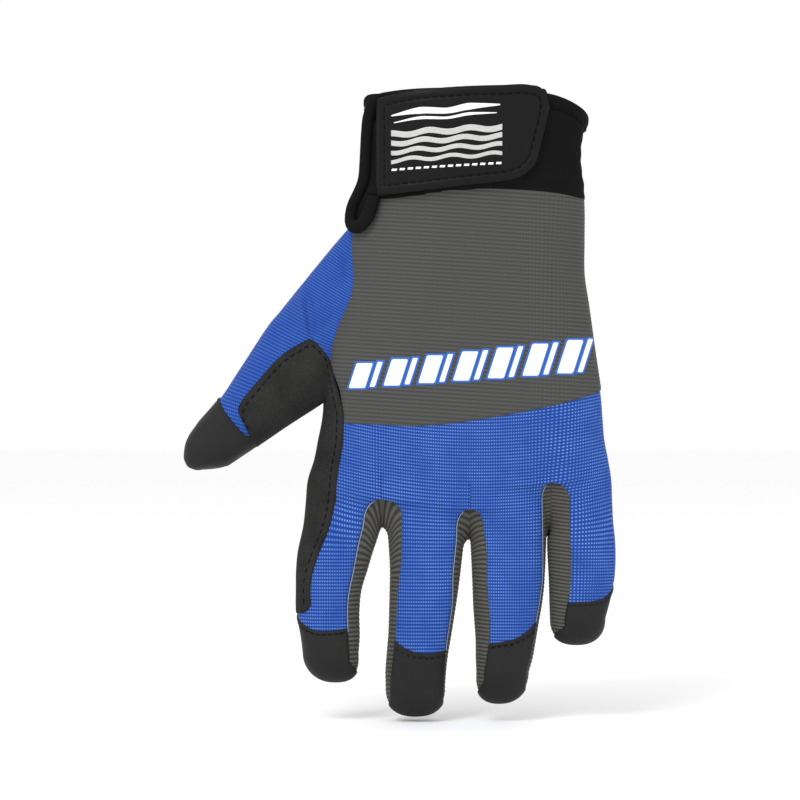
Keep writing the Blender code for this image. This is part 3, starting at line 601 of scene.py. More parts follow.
# one dictionary for each finger: outline rows (down, left, right), half depths, tip (x, down), blue edges
# (down, x) left and right, hood seam (share across, down), rib pitch, split depth and the zones that bend
fingers = {
    "index": {
        "rows": [(146, -63, -35.2), (157.5, -64.1, -35.8), (164, -64.9, -36.5), (169, -66, -37.8),
                 (172.5, -66.75, -39),
                 (180, -67.5, -41.25), (187.5, -67.6, -43.5), (195, -67.6, -44.25), (206, -65.8, -44.2),
                 (211, -65.2, -44.6)],
        "deep": [(146, 10.8), (167, 10.2), (178, 9.8), (190, 9.6), (201, 9.3), (211, 8.8)],
        "tip": (-53.3, 221.6),
        "right": [(150, -42.2), (163.4, -43), (169, -44.4), (180.8, -46.7), (189.4, -48.4), (201.4, -48.6),
                  (211, -48)],
        "seam": [(0, 194.8), (0.3, 198.6), (0.65, 202), (1, 201)], "pitch": 1.26, "split": 178,
        "side": (None, 0),
        "knuckle": (160, 177), "second": (179, 197), "palmAngles": (204, 332), "webPitch": 1.68,
    },
    "middle": {
        "rows": [(146, -36.5, -2.8), (160, -35, -3.4), (169, -33.8, -5), (172, -33.6, -5.4),
                 (180.8, -33.2, -6.4), (186.4, -33.3, -7.1),
                 (197.9, -33.6, -8.8), (203.6, -33.8, -9.7), (212, -34.5, -11.1), (218, -34.9, -11.8),
                 (224, -34.8, -12.2)],
        "deep": [(146, 11), (171, 10.6), (190, 10.2), (205, 9.8), (217, 9.3), (224, 8.8)],
        "tip": (-23.4, 234.4),
        "left": [(150, -28.6), (163.5, -28.9), (174.9, -29.2), (189.3, -30.6), (207, -31.5), (221, -33)],
        "right": [(155, -8), (169, -8.25), (180.75, -9.4), (192.2, -9.7), (209.25, -12), (224, -13)],
        "seam": [(0, 205.4), (0.45, 210), (1, 209.3)], "pitch": 1.3, "split": 182.5, "side": (0, 1),
        "knuckle": (163, 181.5), "second": (183.5, 203), "palmAngles": (208, 332), "webPitch": 1.6,
    },
    "ring": {
        "rows": [(146, -3.4, 27.2), (160, -3.2, 26.2), (168.75, -3, 25.7), (180, -2.5, 25.3),
                 (187.5, -2.2, 24.8), (193, -2, 24.1),
                 (198.75, -1.6, 23.1), (206, -1.1, 21.9), (214, -1, 20.4), (218, -0.8, 19.2)],
        "deep": [(146, 10.6), (174, 10.2), (190, 9.9), (204, 9.4), (218, 8.8)], "tip": (7.8, 229.6),
        "left": [(152, 1.4), (165, 1.6), (172.5, 2.6), (183.75, 2.7), (191, 3.3), (207, 3.7), (218, 2)],
        "right": [(150, 23.6), (165, 24), (172, 24.1), (184, 23.9), (191, 23), (198.75, 21.6), (206, 20.6),
                  (218, 18)],
        "seam": [(0, 207.1), (0.45, 205), (1, 198.6)], "pitch": 1.16, "split": 181, "side": (1, 2),
        "knuckle": (163, 180), "second": (181.5, 200), "palmAngles": (208, 332), "webPitch": 1.45,
    },
    "little": {
        "rows": [(140, 27.2, 48.9), (150, 27, 50.1), (162, 26.4, 50.7), (169, 25.8, 51.4), (180, 26.2, 51.4),
                 (184, 26.4, 51),
                 (188, 26.5, 49.8), (192, 26.6, 48.8), (198, 26.8, 47.2)],
        "deep": [(140, 10.2), (160, 9.6), (178, 9.2), (190, 8.8), (198, 8.3)], "tip": (36.8, 207.6),
        "left": [(140, 33.6), (165, 33.75), (187.5, 33.7), (198, 32)],
        "seam": [(0, 191.6), (0.45, 190.4), (1, 184.4)], "pitch": 1.16, "split": 172, "side": (2, None),
        "knuckle": (161, 171.5), "second": (172.5, 187), "palmAngles": (208, 342), "webPitch": 1.35,
    },
}


sides = ("left", "right")


def palmEdge(f, which):
    # angle of the seam between palm leather and side strip
    return f["palmAngles"][0] if which == "left" else f["palmAngles"][1] - 360


def gapBeside(f, which):
    # the arch beside a finger, or None where the hand ends
    k = f["side"][sides.index(which)]
    return None if k is None else arches[k]


def fingerRing(f, down):
    # centre, half width and half depth; past the last row the ring closes on the tip as |s|^2.4 + |r|^2.4 = 1
    end = f["rows"][-1][0]
    left, right = through(f["rows"], np.minimum(down, end))
    deep = through(f["deep"], np.minimum(down, end))[0]
    s = np.clip((down - end) / (f["tip"][1] - end), 0, 1)
    shrink = np.maximum(1 - s ** 2.4, 0) ** (1 / 2.4)
    return mix((left + right) / 2, f["tip"][0], s ** 1.5), (right - left) / 2 * shrink, deep * shrink


def fingerSpot(f, angle, down):
    # the point of the finger's skin at an angle and a depth
    middle, half, deep = fingerRing(f, down)
    across, back = roundedBox(angle, 2.4)
    return np.stack(np.broadcast_arrays(middle + half * across, -deep * back, -np.asarray(down, float)), -1)


def edgeAngle(f, which, down):
    # finger angle of the blue or hood edge; near the tip it slides round to the palm seam
    palm = palmEdge(f, which)
    if which not in f:
        return np.full(np.shape(down), float(palm))
    end, tip = f["rows"][-1][0], f["tip"][1]
    middle, half, _ = fingerRing(f, np.minimum(down, end))
    angle = angleOfAcross((through(f[which], np.minimum(down, end))[0] - middle) / half, 2.4)
    return mix(angle, palm, ease(mix(end, tip, 0.25), mix(end, tip, 0.97), down))


def webLine(f, which, share, down):
    # the edge between a finger and the web beside it, `share` of the way from back to palm: a rounded arch
    # that opens from the centre of the gap and runs into the finger's own surface
    top, turn = webTop(gapBeside(f, which), share)
    return webSurface(f, which, share, down, quarterRound((down - top) / turn)[..., None])


def webSurface(f, which, share, down, q):
    # from the centre of the gap, where q is 0, to the finger's own side, where q is 1
    target = fingerSpot(f, mix(edgeAngle(f, which, down), palmEdge(f, which), share), down)
    return mix(webCentre(gapBeside(f, which), share, down), target, q)


def webTop(gap, share):
    # depth at which the arch starts and the length over which it opens, from back to palm
    back, deep, palm = gap[1:4]
    top = [(-0.2, back - 1), (0, back), (0.45, deep), (0.8, deep), (1, palm), (1.2, palm - 2)]
    turn = [(-0.2, 7), (0, 7), (0.45, 3.2), (0.8, 3.4), (1, 5), (1.2, 5)]
    return through(top, share)[0], through(turn, share)[0]


def webCentre(gap, share, down):
    # centre of the gap: on the back or palm surface at the two edges, between them inside
    down = np.asarray(down, float)
    back = handSpot(handAngle(gap[0], np.minimum(down, gap[1])), np.minimum(down, gap[1]))
    front = handSpot(handAngle(gap[0], np.minimum(down, gap[3]), True), np.minimum(down, gap[3]))
    y = mix(back[..., 1], front[..., 1], np.asarray(share, float))
    return np.stack(np.broadcast_arrays(gap[0] + 0 * y, y, -down), -1)


def tuckWeb(p, q, share):
    # at the top of the arch the web's edges start a little inside the two faces of the hand
    deep = (1 - q[..., 0]) * (ease(0.25, 0, share) - ease(0.75, 1, share)) * 1.3
    return p + np.stack([0 * deep, deep, 0 * deep], -1)


def webPhase(p, gap, pitch):
    # ribs square to the run of the strip, fanning round the arch, or level where the gap is narrow
    run = along(p, 0)[:, 8:18].mean(1)[:, None]
    level = -p[..., 2] - gap[1] - 0.12 * np.abs(p[..., 0] - gap[0])
    return mix(level, run + 0 * level, gap[4]) / pitch


def columnGrid(f, down, cols, palm=False):
    # back or palm of a finger from the hand row downwards: the hand's surface turning into the finger's,
    # pulled at both edges onto the web lines; down is a grid of depths
    share = 1.0 if palm else 0.0
    mid = down.shape[1] // 2
    rowDown = down[:, mid]
    ends = []
    for k, which in enumerate(sides):
        edgeDown = down[:, 0 if (k == 0) != palm else -1]
        if gapBeside(f, which) is None:
            angle = palmEdge(f, which)
            s = ease(146, 164, edgeDown)[:, None]
            ends.append(mix(handSpot(angle, edgeDown), fingerSpot(f, angle, edgeDown), s))
        else:
            ends.append(webLine(f, which, share, edgeDown))
    if palm:
        ends = ends[::-1]
    w = np.linspace(0, 1, cols)[None]

    def handEnd(i):
        # edge angle on the hand's section
        which = sides[1 - i if palm else i]
        if gapBeside(f, which) is None:
            return np.full(len(rowDown), float(palmEdge(f, which)))
        angle = handAngle(ends[i][:, 0], down[:, 0 if i == 0 else -1], palm)
        return angle - 360 if palm and i == 0 else angle

    def fingerEnd(i):
        # edge angle on the finger's section
        which = sides[1 - i if palm else i]
        if palm:
            return np.full(len(rowDown), float(palmEdge(f, which)))
        return edgeAngle(f, which, down[:, 0 if i == 0 else -1])

    def spread(a, b, spot):
        # even spacing between two edge angles on one kind of section
        a, b = np.where(palm & (a > 90), a - 360, a), np.where(palm & (b > 90), b - 360, b)
        return spot(evenAngles(a, b, rowDown, cols, spot, 90), down)

    onHand = spread(handEnd(0), handEnd(1), handSpot)
    onFinger = spread(fingerEnd(0), fingerEnd(1), lambda a, d: fingerSpot(f, a, d))
    # the change from hand to finger runs over 18 mm at the hand's own edge and 15 mm beside a gap
    zones = []
    for which in sides:
        gap = gapBeside(f, which)
        start = 146 if gap is None else gap[3 if palm else 1]
        zones.append(ease(start, start + (18 if gap is None else 15), down))
    if palm:
        zones = zones[::-1]
    p = mix(onHand, onFinger, mix(*zones, w)[..., None])
    pull = [(end - p[:, k])[:, None] for end, k in zip(ends, (0, -1))]
    return p + pull[0] * (1 - w)[..., None] ** 2 + pull[1] * w[..., None] ** 2


def tipRows(f, start, count):
    # depths from start to the tip, closing in evenly round the dome
    end, tip = f["rows"][-1][0], f["tip"][1]
    straight = np.linspace(start, end, max(3, int(round((end - start) / 0.45))))[:-1]
    return np.concatenate([straight, end + (tip - end) * dome(count)])


def bend(f, name, zone):
    # where a piece of this finger bends: bodies and the two ends of the zone
    x = float(np.mean(fingerRing(f, np.array([(zone[0] + zone[1]) / 2]))[0]))
    bodies = ("hand", name + "_base") if zone is f["knuckle"] else (name + "_base", name + "_end")
    return (*bodies, (x, 6, -zone[0]), (x, 6, -zone[1]))


def halves(f, cut):
    # the two pieces of a strip split at row `cut`: name, rows, zone that bends, ending of the node's name
    return ("Root", slice(0, cut), f["knuckle"], "_base"), ("End", slice(cut - 1, None), f["second"], "_end")


def makeFinger(name, f):
    # blue back, palm leather, side strips and hood of one finger
    cols = 30
    across = np.linspace(0, 1, cols)
    # the top row lies in the valley below the knuckle panel
    gaps = [gapBeside(f, which) for which in sides]
    edges = [f["rows"][0][k + 1] if gap is None else gap[0] for k, gap in enumerate(gaps)]
    top = fingerTop(mix(edges[0], edges[1], across))
    count = int(round((f["split"] - 144) / 0.23))
    share = np.linspace(0, 1, count)[:, None]
    firstRows = mix(top[None], f["split"], share)
    for _ in range(3):
        top = fingerTop(columnGrid(f, firstRows[:2], cols)[0, :, 0])
        firstRows = mix(top[None], f["split"], share)
    seam = through(f["seam"], across)[0] + 1.6
    count = int(round((f["seam"][0][1] - f["split"]) / 0.23))
    lastRows = mix(f["split"], seam[None], np.linspace(0, 1, count)[:, None])
    p = columnGrid(f, np.concatenate([firstRows, lastRows[1:]]), cols)
    cut = len(firstRows)
    phase = knucklePhase(p, f["pitch"])
    uv = np.stack([aroundHand(p), phase], 2)
    starts = [100 if gap is None else gap[1] for gap in gaps]
    leftRoll = ease(starts[0], starts[0] + 2, -p[:, :1, 2])
    rightRoll = ease(starts[1], starts[1] + 2, -p[:, -1:, 2])
    for part, rows, zone, node in halves(f, cut):
        sheet = addSheet(name + "Back" + part, p[rows], blueKnit, rise=ribs(phase[rows], 0.05), uv=uv[rows],
                         roll=(leftRoll[rows], rightRoll[rows], 0, 0), rollDeep=0.6)
        attach(sheet, "blue_fabric", bend(f, name, zone), name + "_back" + node)
        if name != "little":
            # overlock thread along the edge away from the thumb, its pale colour a painted highlight along
            # the seam
            line = p[rows, -1] + gridNormals(p)[rows, -1] * -0.1
            line = line[rightRoll[rows, 0] > 0.5]
            thread = addTube(name + "SeamHighlightThread" + part, line[::3], 0.17, seamHighlightThread, sides=6)
            attach(thread, "blue_fabric", bend(f, name, zone))

    # palm leather runs on over the tip to the pole
    cut = 60
    rows = np.concatenate([np.linspace(146, f["split"], cut)[:-1], tipRows(f, f["split"], 14)])
    p = columnGrid(f, rows[:, None] + np.zeros((1, 26)), 26, palm=True)
    for part, rows, zone, node in halves(f, cut):
        sheet = addSheet(name + "Palm" + part, p[rows], palmHide, roll=(0.8, 0.8, 0, 0), rollDeep=0.7,
                         thick=0.9, pole=(0, 0, -1) if part == "End" else None)
        attach(sheet, "black_leather", bend(f, name, zone), name + "_palm" + node)

    # fourchettes: half of the arch over each gap, with the ribs fanning round it
    for which in sides:
        gap = gapBeside(f, which)
        if gap is None:
            continue
        share = np.linspace(-0.04, 1.04, 26)[None]
        top, turn = webTop(gap, share)
        phi = np.linspace(0, np.pi / 2, 22)[:, None]
        arc = top + turn * (1 - np.cos(phi))
        count = int((f["split"] - 170) / 0.34) + 26
        run = mix(arc[-1:], f["split"], np.linspace(0, 1, count)[1:, None])
        tipDown = mix(f["rows"][-1][0], f["tip"][1], 0.97)
        tail = np.linspace(f["split"], tipDown, int((tipDown - f["split"]) / 0.34))[1:, None] + 0 * share
        down = np.concatenate([arc, run, tail])
        cut = 22 + count - 1
        q = np.concatenate([np.sin(phi) + 0 * share, np.ones((len(down) - 22, share.shape[1]))])[..., None]
        p = tuckWeb(webSurface(f, which, share, down, q), q, share)
        phase = webPhase(p, gap, f["webPitch"])
        uv = np.stack([along(p, 1), phase], 2)
        for part, rows, zone, node in halves(f, cut):
            sheet = addSheet(name + which.title() + "Web" + part, p[rows], webKnit,
                             rise=ribs(phase[rows], 0.09),
                             uv=uv[rows], lift=-0.15, roll=(1, 1, 0, 0), rollDeep=0.7, flip=which == "left",
                             thick=0.8)
            attach(sheet, "rib_fabric", bend(f, name, zone), name + "_" + which + "_fourchette" + node)

    # hood over the last joint: back and tip, between the two fourchettes
    across = np.linspace(0, 1, 34)
    top = through(f["seam"], across)[0]
    end, tip = f["rows"][-1][0], f["tip"][1]
    rows = np.concatenate([mix(top[None], end, np.linspace(0, 1, 40)[:-1, None]),
                           (end + (tip - end) * dome(22))[:, None] + 0 * top])
    left, right = edgeAngle(f, "left", rows), edgeAngle(f, "right", rows)
    p = fingerSpot(f, mix(left, right, across[None]), rows)
    t = along(p, 0)
    fold = 0.25 * bell(t, 0.8, 0.7) - 0.28 * bell(t, 1.7, 0.35)
    hood = addSheet(name + "Hood", p, hide, rise=fold, lift=0.55, roll=(0.9, 0.9, 1, 0), rollDeep=0.9,
                    rollWide=1.3, thick=1.1, pole=(0, 0, -1))
    attach(hood, "black_leather", name + "_end", name + "_hood")
    line = p[6, 2:-2]
    n = gridNormals(p)[6, 2:-2]
    sewn = addStitches(name + "HoodStitches", line + n * 0.62, n, blackThread, long=1.5, gap=0.6, radius=0.2)
    attach(sewn, "black_leather", name + "_end")


def makeCrotch(k, name, left, right):
    # the top of the arch between two fingers, one strip over both sides, sunk just below their fourchettes
    gap = arches[k]
    share = np.linspace(-0.04, 1.04, 26)[None]
    top, turn = webTop(gap, share)
    phi = np.linspace(0, np.pi / 2, 24)[:, None]
    down = top + turn * (1 - np.cos(phi))
    q = (np.sin(phi) + 0 * share)[..., None]
    a, b = (tuckWeb(webSurface(f, which, share, down, q), q, share)
            for f, which in ((left, "right"), (right, "left")))
    p = np.concatenate([a[::-1], b[1:]]).transpose(1, 0, 2)
    phase = np.concatenate([webPhase(a, gap, 1.5)[::-1], webPhase(b, gap, 1.5)[1:]]).T
    uv = np.stack([along(p, 0), phase], 2)
    web = addSheet(name + "Web", p, webKnit, rise=ribs(phase, 0.1), uv=uv, lift=-0.32, roll=(0, 0, 1, 1),
                   rollDeep=0.5)
    attach(web, "rib_fabric", "hand", name + "_crotch")


for name, f in fingers.items():
    makeFinger(name, f)
for k, (a, b) in enumerate((("index", "middle"), ("middle", "ring"), ("ring", "little"))):
    makeCrotch(k, a + "_" + b, fingers[a], fingers[b])
print("fingers made")

# the thumb: rings from the hand's left edge to the tip. Station, outer side x and down, crotch side x and
# down, half depth, sideways shift, squareness
thumb = {
    "rows": [(0, -48.2, 51, -57.8, 115.4, 7.4, 0, 4), (1, -62.5, 68.5, -57.5, 116, 12.4, 2, 3.2),
             (2, -79, 89, -61.5, 118.8, 13.4, 3.6, 2.4), (3, -89, 103.8, -71.5, 125.2, 12.6, 4.4, 2.4),
             (4, -96.6, 115.3, -81.8, 132.2, 11.6, 5, 2.4), (5, -104.6, 124.6, -94.2, 140.5, 10.4, 5.4, 2.4)],
    # closing of the tip: share, outer side x, down, crotch side x, down
    "tip": [(0, -104.6, 124.6, -94.2, 140.5), (0.4, -108.9, 131.2, -98.6, 141.5),
            (0.72, -110, 136.2, -103.4, 141.9), (0.9, -109.8, 139, -106.3, 142),
            (1, -108.6, 141.1, -108.6, 141.1)],
    "patch": [(-89.7, 122.4), (-89.6, 119.6), (-87.9, 115.9), (-81.4, 108.15), (-74.3, 100.4), (-66.6, 95.25),
              (-62, 93.8),
              (-56.25, 99.75), (-53.6, 105.6)],
    "strip": [(105, -53.8), (112, -51), (123.7, -50), (132.7, -50.4), (144.3, -52.35), (151.9, -53),
              (163.5, -55.3), (172.1, -58.8),
              (178.4, -61), (183.6, -62.25), (193.9, -62.3), (196, -62.3)],
    # creases of the cloth: from x, down, to x, down, width, depth
    "creases": [(-64.4, 76, -62, 93, 1.7, 2.3), (-51.5, 58, -48.6, 72, 1.6, 0.6),
                (-73, 84, -77.5, 98, 2.6, 0.5)],
    "split": 3.1, "hood": 4.0, "palmAngle": 188, "pitch": 1.16,
    "hinge": (-70.9, 11.75, -105.0), "along": (-0.7071, 0, -0.7071),
}


def thumbLoft(angle, t):
    # ring sections carried from station to station; past the last one they close on the tip
    ux, ud, lx, ld, deep, shift, power = through(thumb["rows"], np.minimum(t, 5))
    s = np.clip(t - 5, 0, 1)
    across, back = roundedBox(angle, power)
    ends = through(thumb["tip"], s)
    ux, ud, lx, ld = (np.where(t > 5, end, side) for end, side in zip(ends, (ux, ud, lx, ld)))
    shrink = np.maximum(1 - s ** 2.4, 0) ** (1 / 2.4)
    x = (ux + lx) / 2 + (lx - ux) / 2 * across
    down = (ud + ld) / 2 + (ld - ud) / 2 * across
    return np.stack(np.broadcast_arrays(x, shift - deep * back * shrink, -down), -1)


def thumbRoot(angle):
    # where the thumb meets the hand: under the grey edge on the back, the palm seam in front, and
    # round the side of the hand at the wrist and in the crotch
    angle = np.mod(np.asarray(angle, float) + 90, 360) - 90
    down = mix(115.4, 51, (1 - np.cos(np.radians(angle))) / 2)
    back = handAngle(through(hand["greyLeft"], down)[0] + 1.2, down)
    palm = 212.0
    turn = ease(-14, 14, angle) * (1 - ease(166, 194, angle))
    return handSpot(mix(palm, back, turn), down)


def thumbSpot(angle, t):
    # the loft, pulled onto the hand by (1 - t)^2 below the first station
    angle, t = np.broadcast_arrays(np.asarray(angle, float), np.asarray(t, float))
    pull = (np.clip(1 - t, 0, 1) ** 2)[..., None]
    return thumbLoft(angle, t) + pull * (thumbRoot(angle) - thumbLoft(angle, 0 * t))


def thumbRings(first, last, t, cols):
    # rings between two angles (one pair for each t), evenly spaced along each ring
    fine = mix(np.broadcast_to(first, t.shape)[:, None], np.broadcast_to(last, t.shape)[:, None],
               np.linspace(0, 1, 200)[None])
    return evenAcross(thumbSpot(fine, t[:, None] + 0 * fine), cols)


def thumbBend(which):
    # the two zones of the thumb, measured from its base hinge along the thumb
    low, high = {"base": (-1, 13), "tip": (16.3, 27.5)}[which]
    bodies = ("hand", "thumb_base") if which == "base" else ("thumb_base", "thumb_end")
    spot = lambda d: tuple(h + d * a for h, a in zip(thumb["hinge"], thumb["along"]))
    return (*bodies, spot(low), spot(high))


def patchAngles(t):
    # angle on each ring at which the suede patch begins, from the nearest point of a dense sampling
    a, s = np.meshgrid(np.linspace(0, 180, 361), np.linspace(0, 4.6, 231))
    p = thumbSpot(a, s)
    want = np.array(thumb["patch"], float)
    line = through(numbered(want), np.linspace(0, len(want) - 1, 60)).T
    away = (p[None, ..., 0] - line[:, 0, None, None]) ** 2 + (-p[None, ..., 2] - line[:, 1, None, None]) ** 2
    hit = away.reshape(len(line), -1).argmin(1)
    foundT, foundA = s.ravel()[hit], a.ravel()[hit]
    order = np.argsort(foundT)
    return np.interp(t, foundT[order], foundA[order])


def creaseRise(p, x0, down0, x1, down1, wide, deep):
    # a valley with a soft ridge on one side, along a line that fades at both ends
    x, down = p[..., 0] - x0, -p[..., 2] - down0
    dx, dd = x1 - x0, down1 - down0
    long = np.hypot(dx, dd)
    run, side = (x * dx + down * dd) / long, (x * dd - down * dx) / long
    fade = ease(-0.15 * long, 0.3 * long, run) * (1 - ease(0.7 * long, 1.15 * long, run))
    return deep * fade * (0.75 * bell(side, -wide, wide) - bell(side, 0, wide))


def makeThumb():
    cols, split = 44, thumb["split"]
    # blue back, from the outer side to under the suede
    t = np.concatenate([np.linspace(0, 1, 70)[:-1], np.linspace(1, split, 130)[:-1],
                        np.linspace(split, 4.5, 76)])
    cut = int(np.searchsorted(t, split))
    start = np.minimum(patchAngles(t) - 12, 178)
    start = np.where(t > 3.6, mix(start, -16, ease(3.6, 3.9, t)), start)
    p = thumbRings(192, start, t, cols)
    lean = np.radians(mix(38, 17, ease(60, 122, -p[..., 2])))
    phase = (-p[..., 2] - (p[..., 0] + 70) * np.tan(lean)) * 0.88 / thumb["pitch"]
    folds = sum(creaseRise(p, *c) for c in thumb["creases"])
    uv = np.stack([along(p, 1), phase], 2)
    for name, rows, which, nodes in (("thumbBackRoot", slice(0, cut + 1), "base", ["thumb_back_gusset"]),
                                     ("thumbBackEnd", slice(cut, None), "tip", ["thumb_back_base"])):
        sheet = addSheet(name, p[rows], thumbKnit, rise=(ribs(phase, 0.045) + folds)[rows], uv=uv[rows],
                         roll=(1, 0, 0, 0), rollDeep=0.6)
        attach(sheet, "blue_fabric", thumbBend(which), *nodes)

    # palm leather of the thumb
    t = np.concatenate([np.linspace(0, split, 60)[:-1], np.linspace(split, 4.12, 24)])
    p = thumbRings(336, thumb["palmAngle"], t, 40)
    for name, rows, which, nodes in (("thumbPalmRoot", slice(0, 60), "base", ["thumb_palm_gusset"]),
                                     ("thumbPalmEnd", slice(59, None), "tip", ["thumb_palm_base"])):
        sheet = addSheet(name, p[rows], palmHide, roll=(1, 1, 0, 0), rollDeep=0.7)
        attach(sheet, "black_leather", thumbBend(which), *nodes)

    # hood round the whole tip
    angle = np.linspace(-90, 270, 73)[None]
    bow = 0.16 * np.sin(np.radians(np.clip(angle, 0, 180)))
    seam = thumb["hood"] + bow - 0.3 * ease(66, 28, angle) * ease(-80, -30, angle)
    rows = np.concatenate([mix(seam, 5, np.linspace(0, 1, 30)[:-1, None]),
                           (5 + dome(24))[:, None] + 0 * angle])
    p = thumbSpot(angle + 0 * rows, rows)
    run = along(p, 0)
    fold = 0.25 * bell(run, 0.8, 0.7) - 0.25 * bell(run, 1.7, 0.35)
    hood = addSheet("thumbHood", p, hide, rise=fold, lift=0.6, roll=(0, 0, 1, 0), rollDeep=0.9, rollWide=1.2,
                    thick=1.1, flip=True, pole=(-0.82, 0, -0.57))
    attach(hood, "black_leather", "thumb_end", "thumb_hood")


makeThumb()

# the suede guard: one band from the thumb over the crotch and down the side of the index finger
guard = {"lift": 0.75, "cols": 30, "thick": 0.9, "stitchIn": 2.6}


def cutAtEdge(p, edge):
    # rows that start on the palm side: keep each up to where it crosses the strip's edge in x
    length, low = along(p, 1), p[..., 0].argmin(1)
    stop = [np.interp(x, row[k:, 0], s[k:]) for x, row, s, k in zip(edge, p, length, low)]
    return readRows(p, length, [np.linspace(0, s, guard["cols"]) for s in stop])[:, ::-1]


def makeGuard():
    cols = guard["cols"]
    # thumb leg, from its rounded end back to the hand, split at the thumb's joint
    end = 4.12 - 0.36 * (1 - np.cos(np.linspace(0, np.pi / 2, 26)))
    t = np.concatenate([end, np.linspace(3.74, thumb["split"], 30), np.linspace(3.08, 1, 90),
                        np.linspace(0.98, 0.4, 24)])
    outer = patchAngles(t)
    nose = np.clip(1 - np.clip((t - 3.82) / 0.3, 0, 1) ** 2.2, 0, 1) ** (1 / 2.2)
    outer = mix(-14.0, outer, np.maximum(nose, 0.02))
    leg = thumbRings(outer, -24, t, cols)
    thumbCut = int(np.argmax(t <= thumb["split"]))
    # index leg, cut out of the same surface as the finger's back
    split, straight, nose = fingers["index"]["split"], 192, 3.9
    down = np.concatenate([np.linspace(121, split, 200)[:-1], np.linspace(split, straight, 46)[:-1],
                           straight + nose * dome(20)])
    full = columnGrid(fingers["index"], down[:, None] + np.zeros((1, 60)), 60)
    edge = through(thumb["strip"], down)[0]
    strip = cutAtEdge(full, edge)
    keep = np.sqrt(np.clip(1 - np.clip((down - straight) / nose, 0, 1) ** 2, 0, 1))[:, None]
    w = np.linspace(0, 1, cols)[None]
    strip = readRows(strip, np.repeat(w, len(strip), 0), mix(0.42, w, np.maximum(keep, 0.03)))
    joinRows = np.linspace(0, 1, 42)[1:-1, None, None]
    middle = mix(leg[-1:], strip[:1], joinRows)
    p = np.concatenate([leg, middle, strip])
    crotch = len(leg) + 4
    indexCut = len(leg) + len(middle) + int(np.argmax(down >= split))
    s = along(p, 0)
    across = along(p, 1)
    far = across[:, -1:]
    # raised fold along the outer edge, a dimpled surface inside
    fold = 0.22 * bell(across, 1.3, 0.9)
    uv = np.stack([across, s], 2)
    bendIndex = lambda zone: bend(fingers["index"], "index", fingers["index"][zone])
    parts = (("guardThumbEnd", slice(0, thumbCut + 1), thumbBend("tip"), ["thumb_guard_base"]),
             ("guardThumbRoot", slice(thumbCut, crotch + 1), thumbBend("base"), ["thumb_guard_gusset"]),
             ("guardIndexRoot", slice(crotch, indexCut + 1), bendIndex("knuckle"),
              ["index_side_guard", "index_guard_base"]),
             ("guardIndexEnd", slice(indexCut, None), bendIndex("second"), ["index_guard_end"]))
    n = -gridNormals(p)
    for name, rows, place, nodes in parts:
        roll = (1, 1, float(name == "guardThumbEnd"), float(name == "guardIndexEnd"))
        sheet = addSheet(name, p[rows], suede, rise=fold[rows], lift=guard["lift"], uv=uv[rows],
                         thick=guard["thick"], roll=roll, rollDeep=0.8, rollWide=1.1, flip=True)
        attach(sheet, "black_suede", place, *nodes)
        # stitches a little inside the outer edge
        a, b = rows.start or 0, rows.stop or len(p)
        pick = np.arange(max(a, 14), min(b, len(p) - 16), 2)
        at = np.clip(guard["stitchIn"] / np.maximum(far[pick, 0], 1e-6), 0.05, 0.45) * (cols - 1)
        lo = np.floor(at).astype(int)
        share = (at - lo)[:, None]
        path = mix(p[pick, lo], p[pick, lo + 1], share)
        out = mix(n[pick, lo], n[pick, lo + 1], share)
        sewn = addStitches(name + "Stitches", path + out * (guard["lift"] + 0.1), out, blackThread, long=2.0,
                           gap=0.9, radius=0.26)
        attach(sewn, "black_suede", place)


makeGuard()
print("thumb and guard made")

# palm panel of the hand, wrist gusset beside it, and the two suede pads
palm = {"top": 36, "bottom": 146}


def makePalm():
    # the palm leather from wrist to fingers, then the blue gusset at its thumb side
    rows = np.linspace(palm["top"], palm["bottom"], 150)
    left = mix(212.0, 204.0, ease(100, 116, rows))
    down = rows[:, None] + np.zeros((1, 84))
    p = handSpot(evenWidths(left, np.full(len(rows), 342.0), down), down)
    sheet = addSheet("palmPanel", p, palmHide, roll=(1, 1, 0, 0), rollDeep=0.7, flip=True)
    attach(sheet, "black_leather", "hand", "palm_panel")
    rows = np.linspace(34, 56, 60)
    right = handAngle(through(hand["greyLeft"], rows)[0] + 1, rows)
    down = rows[:, None] + np.zeros((1, 30))
    p = handSpot(evenWidths(np.full(len(rows), 214.0), right, down), down)
    gusset = ribSheet("wristGusset", p, greyPhase(p), 0.08, blueKnit, lift=-0.4)
    attach(gusset, "blue_fabric", "hand", "wrist_gusset")


def makePad(name, node, angles, downs, swell):
    # a rounded rectangle on the palm, crowned between its edges: |u|^5 + |v|^5 outline mapped over the skin
    u, v = np.meshgrid(np.linspace(-1, 1, 60), np.linspace(-1, 1, 60))
    r = np.maximum(np.abs(u), np.abs(v))
    turn = np.arctan2(v, u)
    reach = (np.abs(np.cos(turn)) ** 5 + np.abs(np.sin(turn)) ** 5) ** (-1 / 5)
    a, b = r * reach * np.cos(turn), r * reach * np.sin(turn)
    p = handSpot(mix(angles[0], angles[1], (a + 1) / 2), mix(downs[0], downs[1], (b + 1) / 2))
    crown = swell * (1 - r ** 2.2)
    quilt = -0.35 * bell(r, 0.86, 0.035)
    pad = addSheet(name, p, suede, rise=crown + quilt, lift=0.95, rollDeep=0.9, rollWide=1.4, thick=1.6)
    attach(pad, "black_suede", "hand", node)


makePalm()
makePad("palmPad", "palm_pad", (312, 228), (103, 139), 0.9)
makePad("heelPad", "heel_pad", (302, 240), (54, 88), 0.9)
print("palm made")

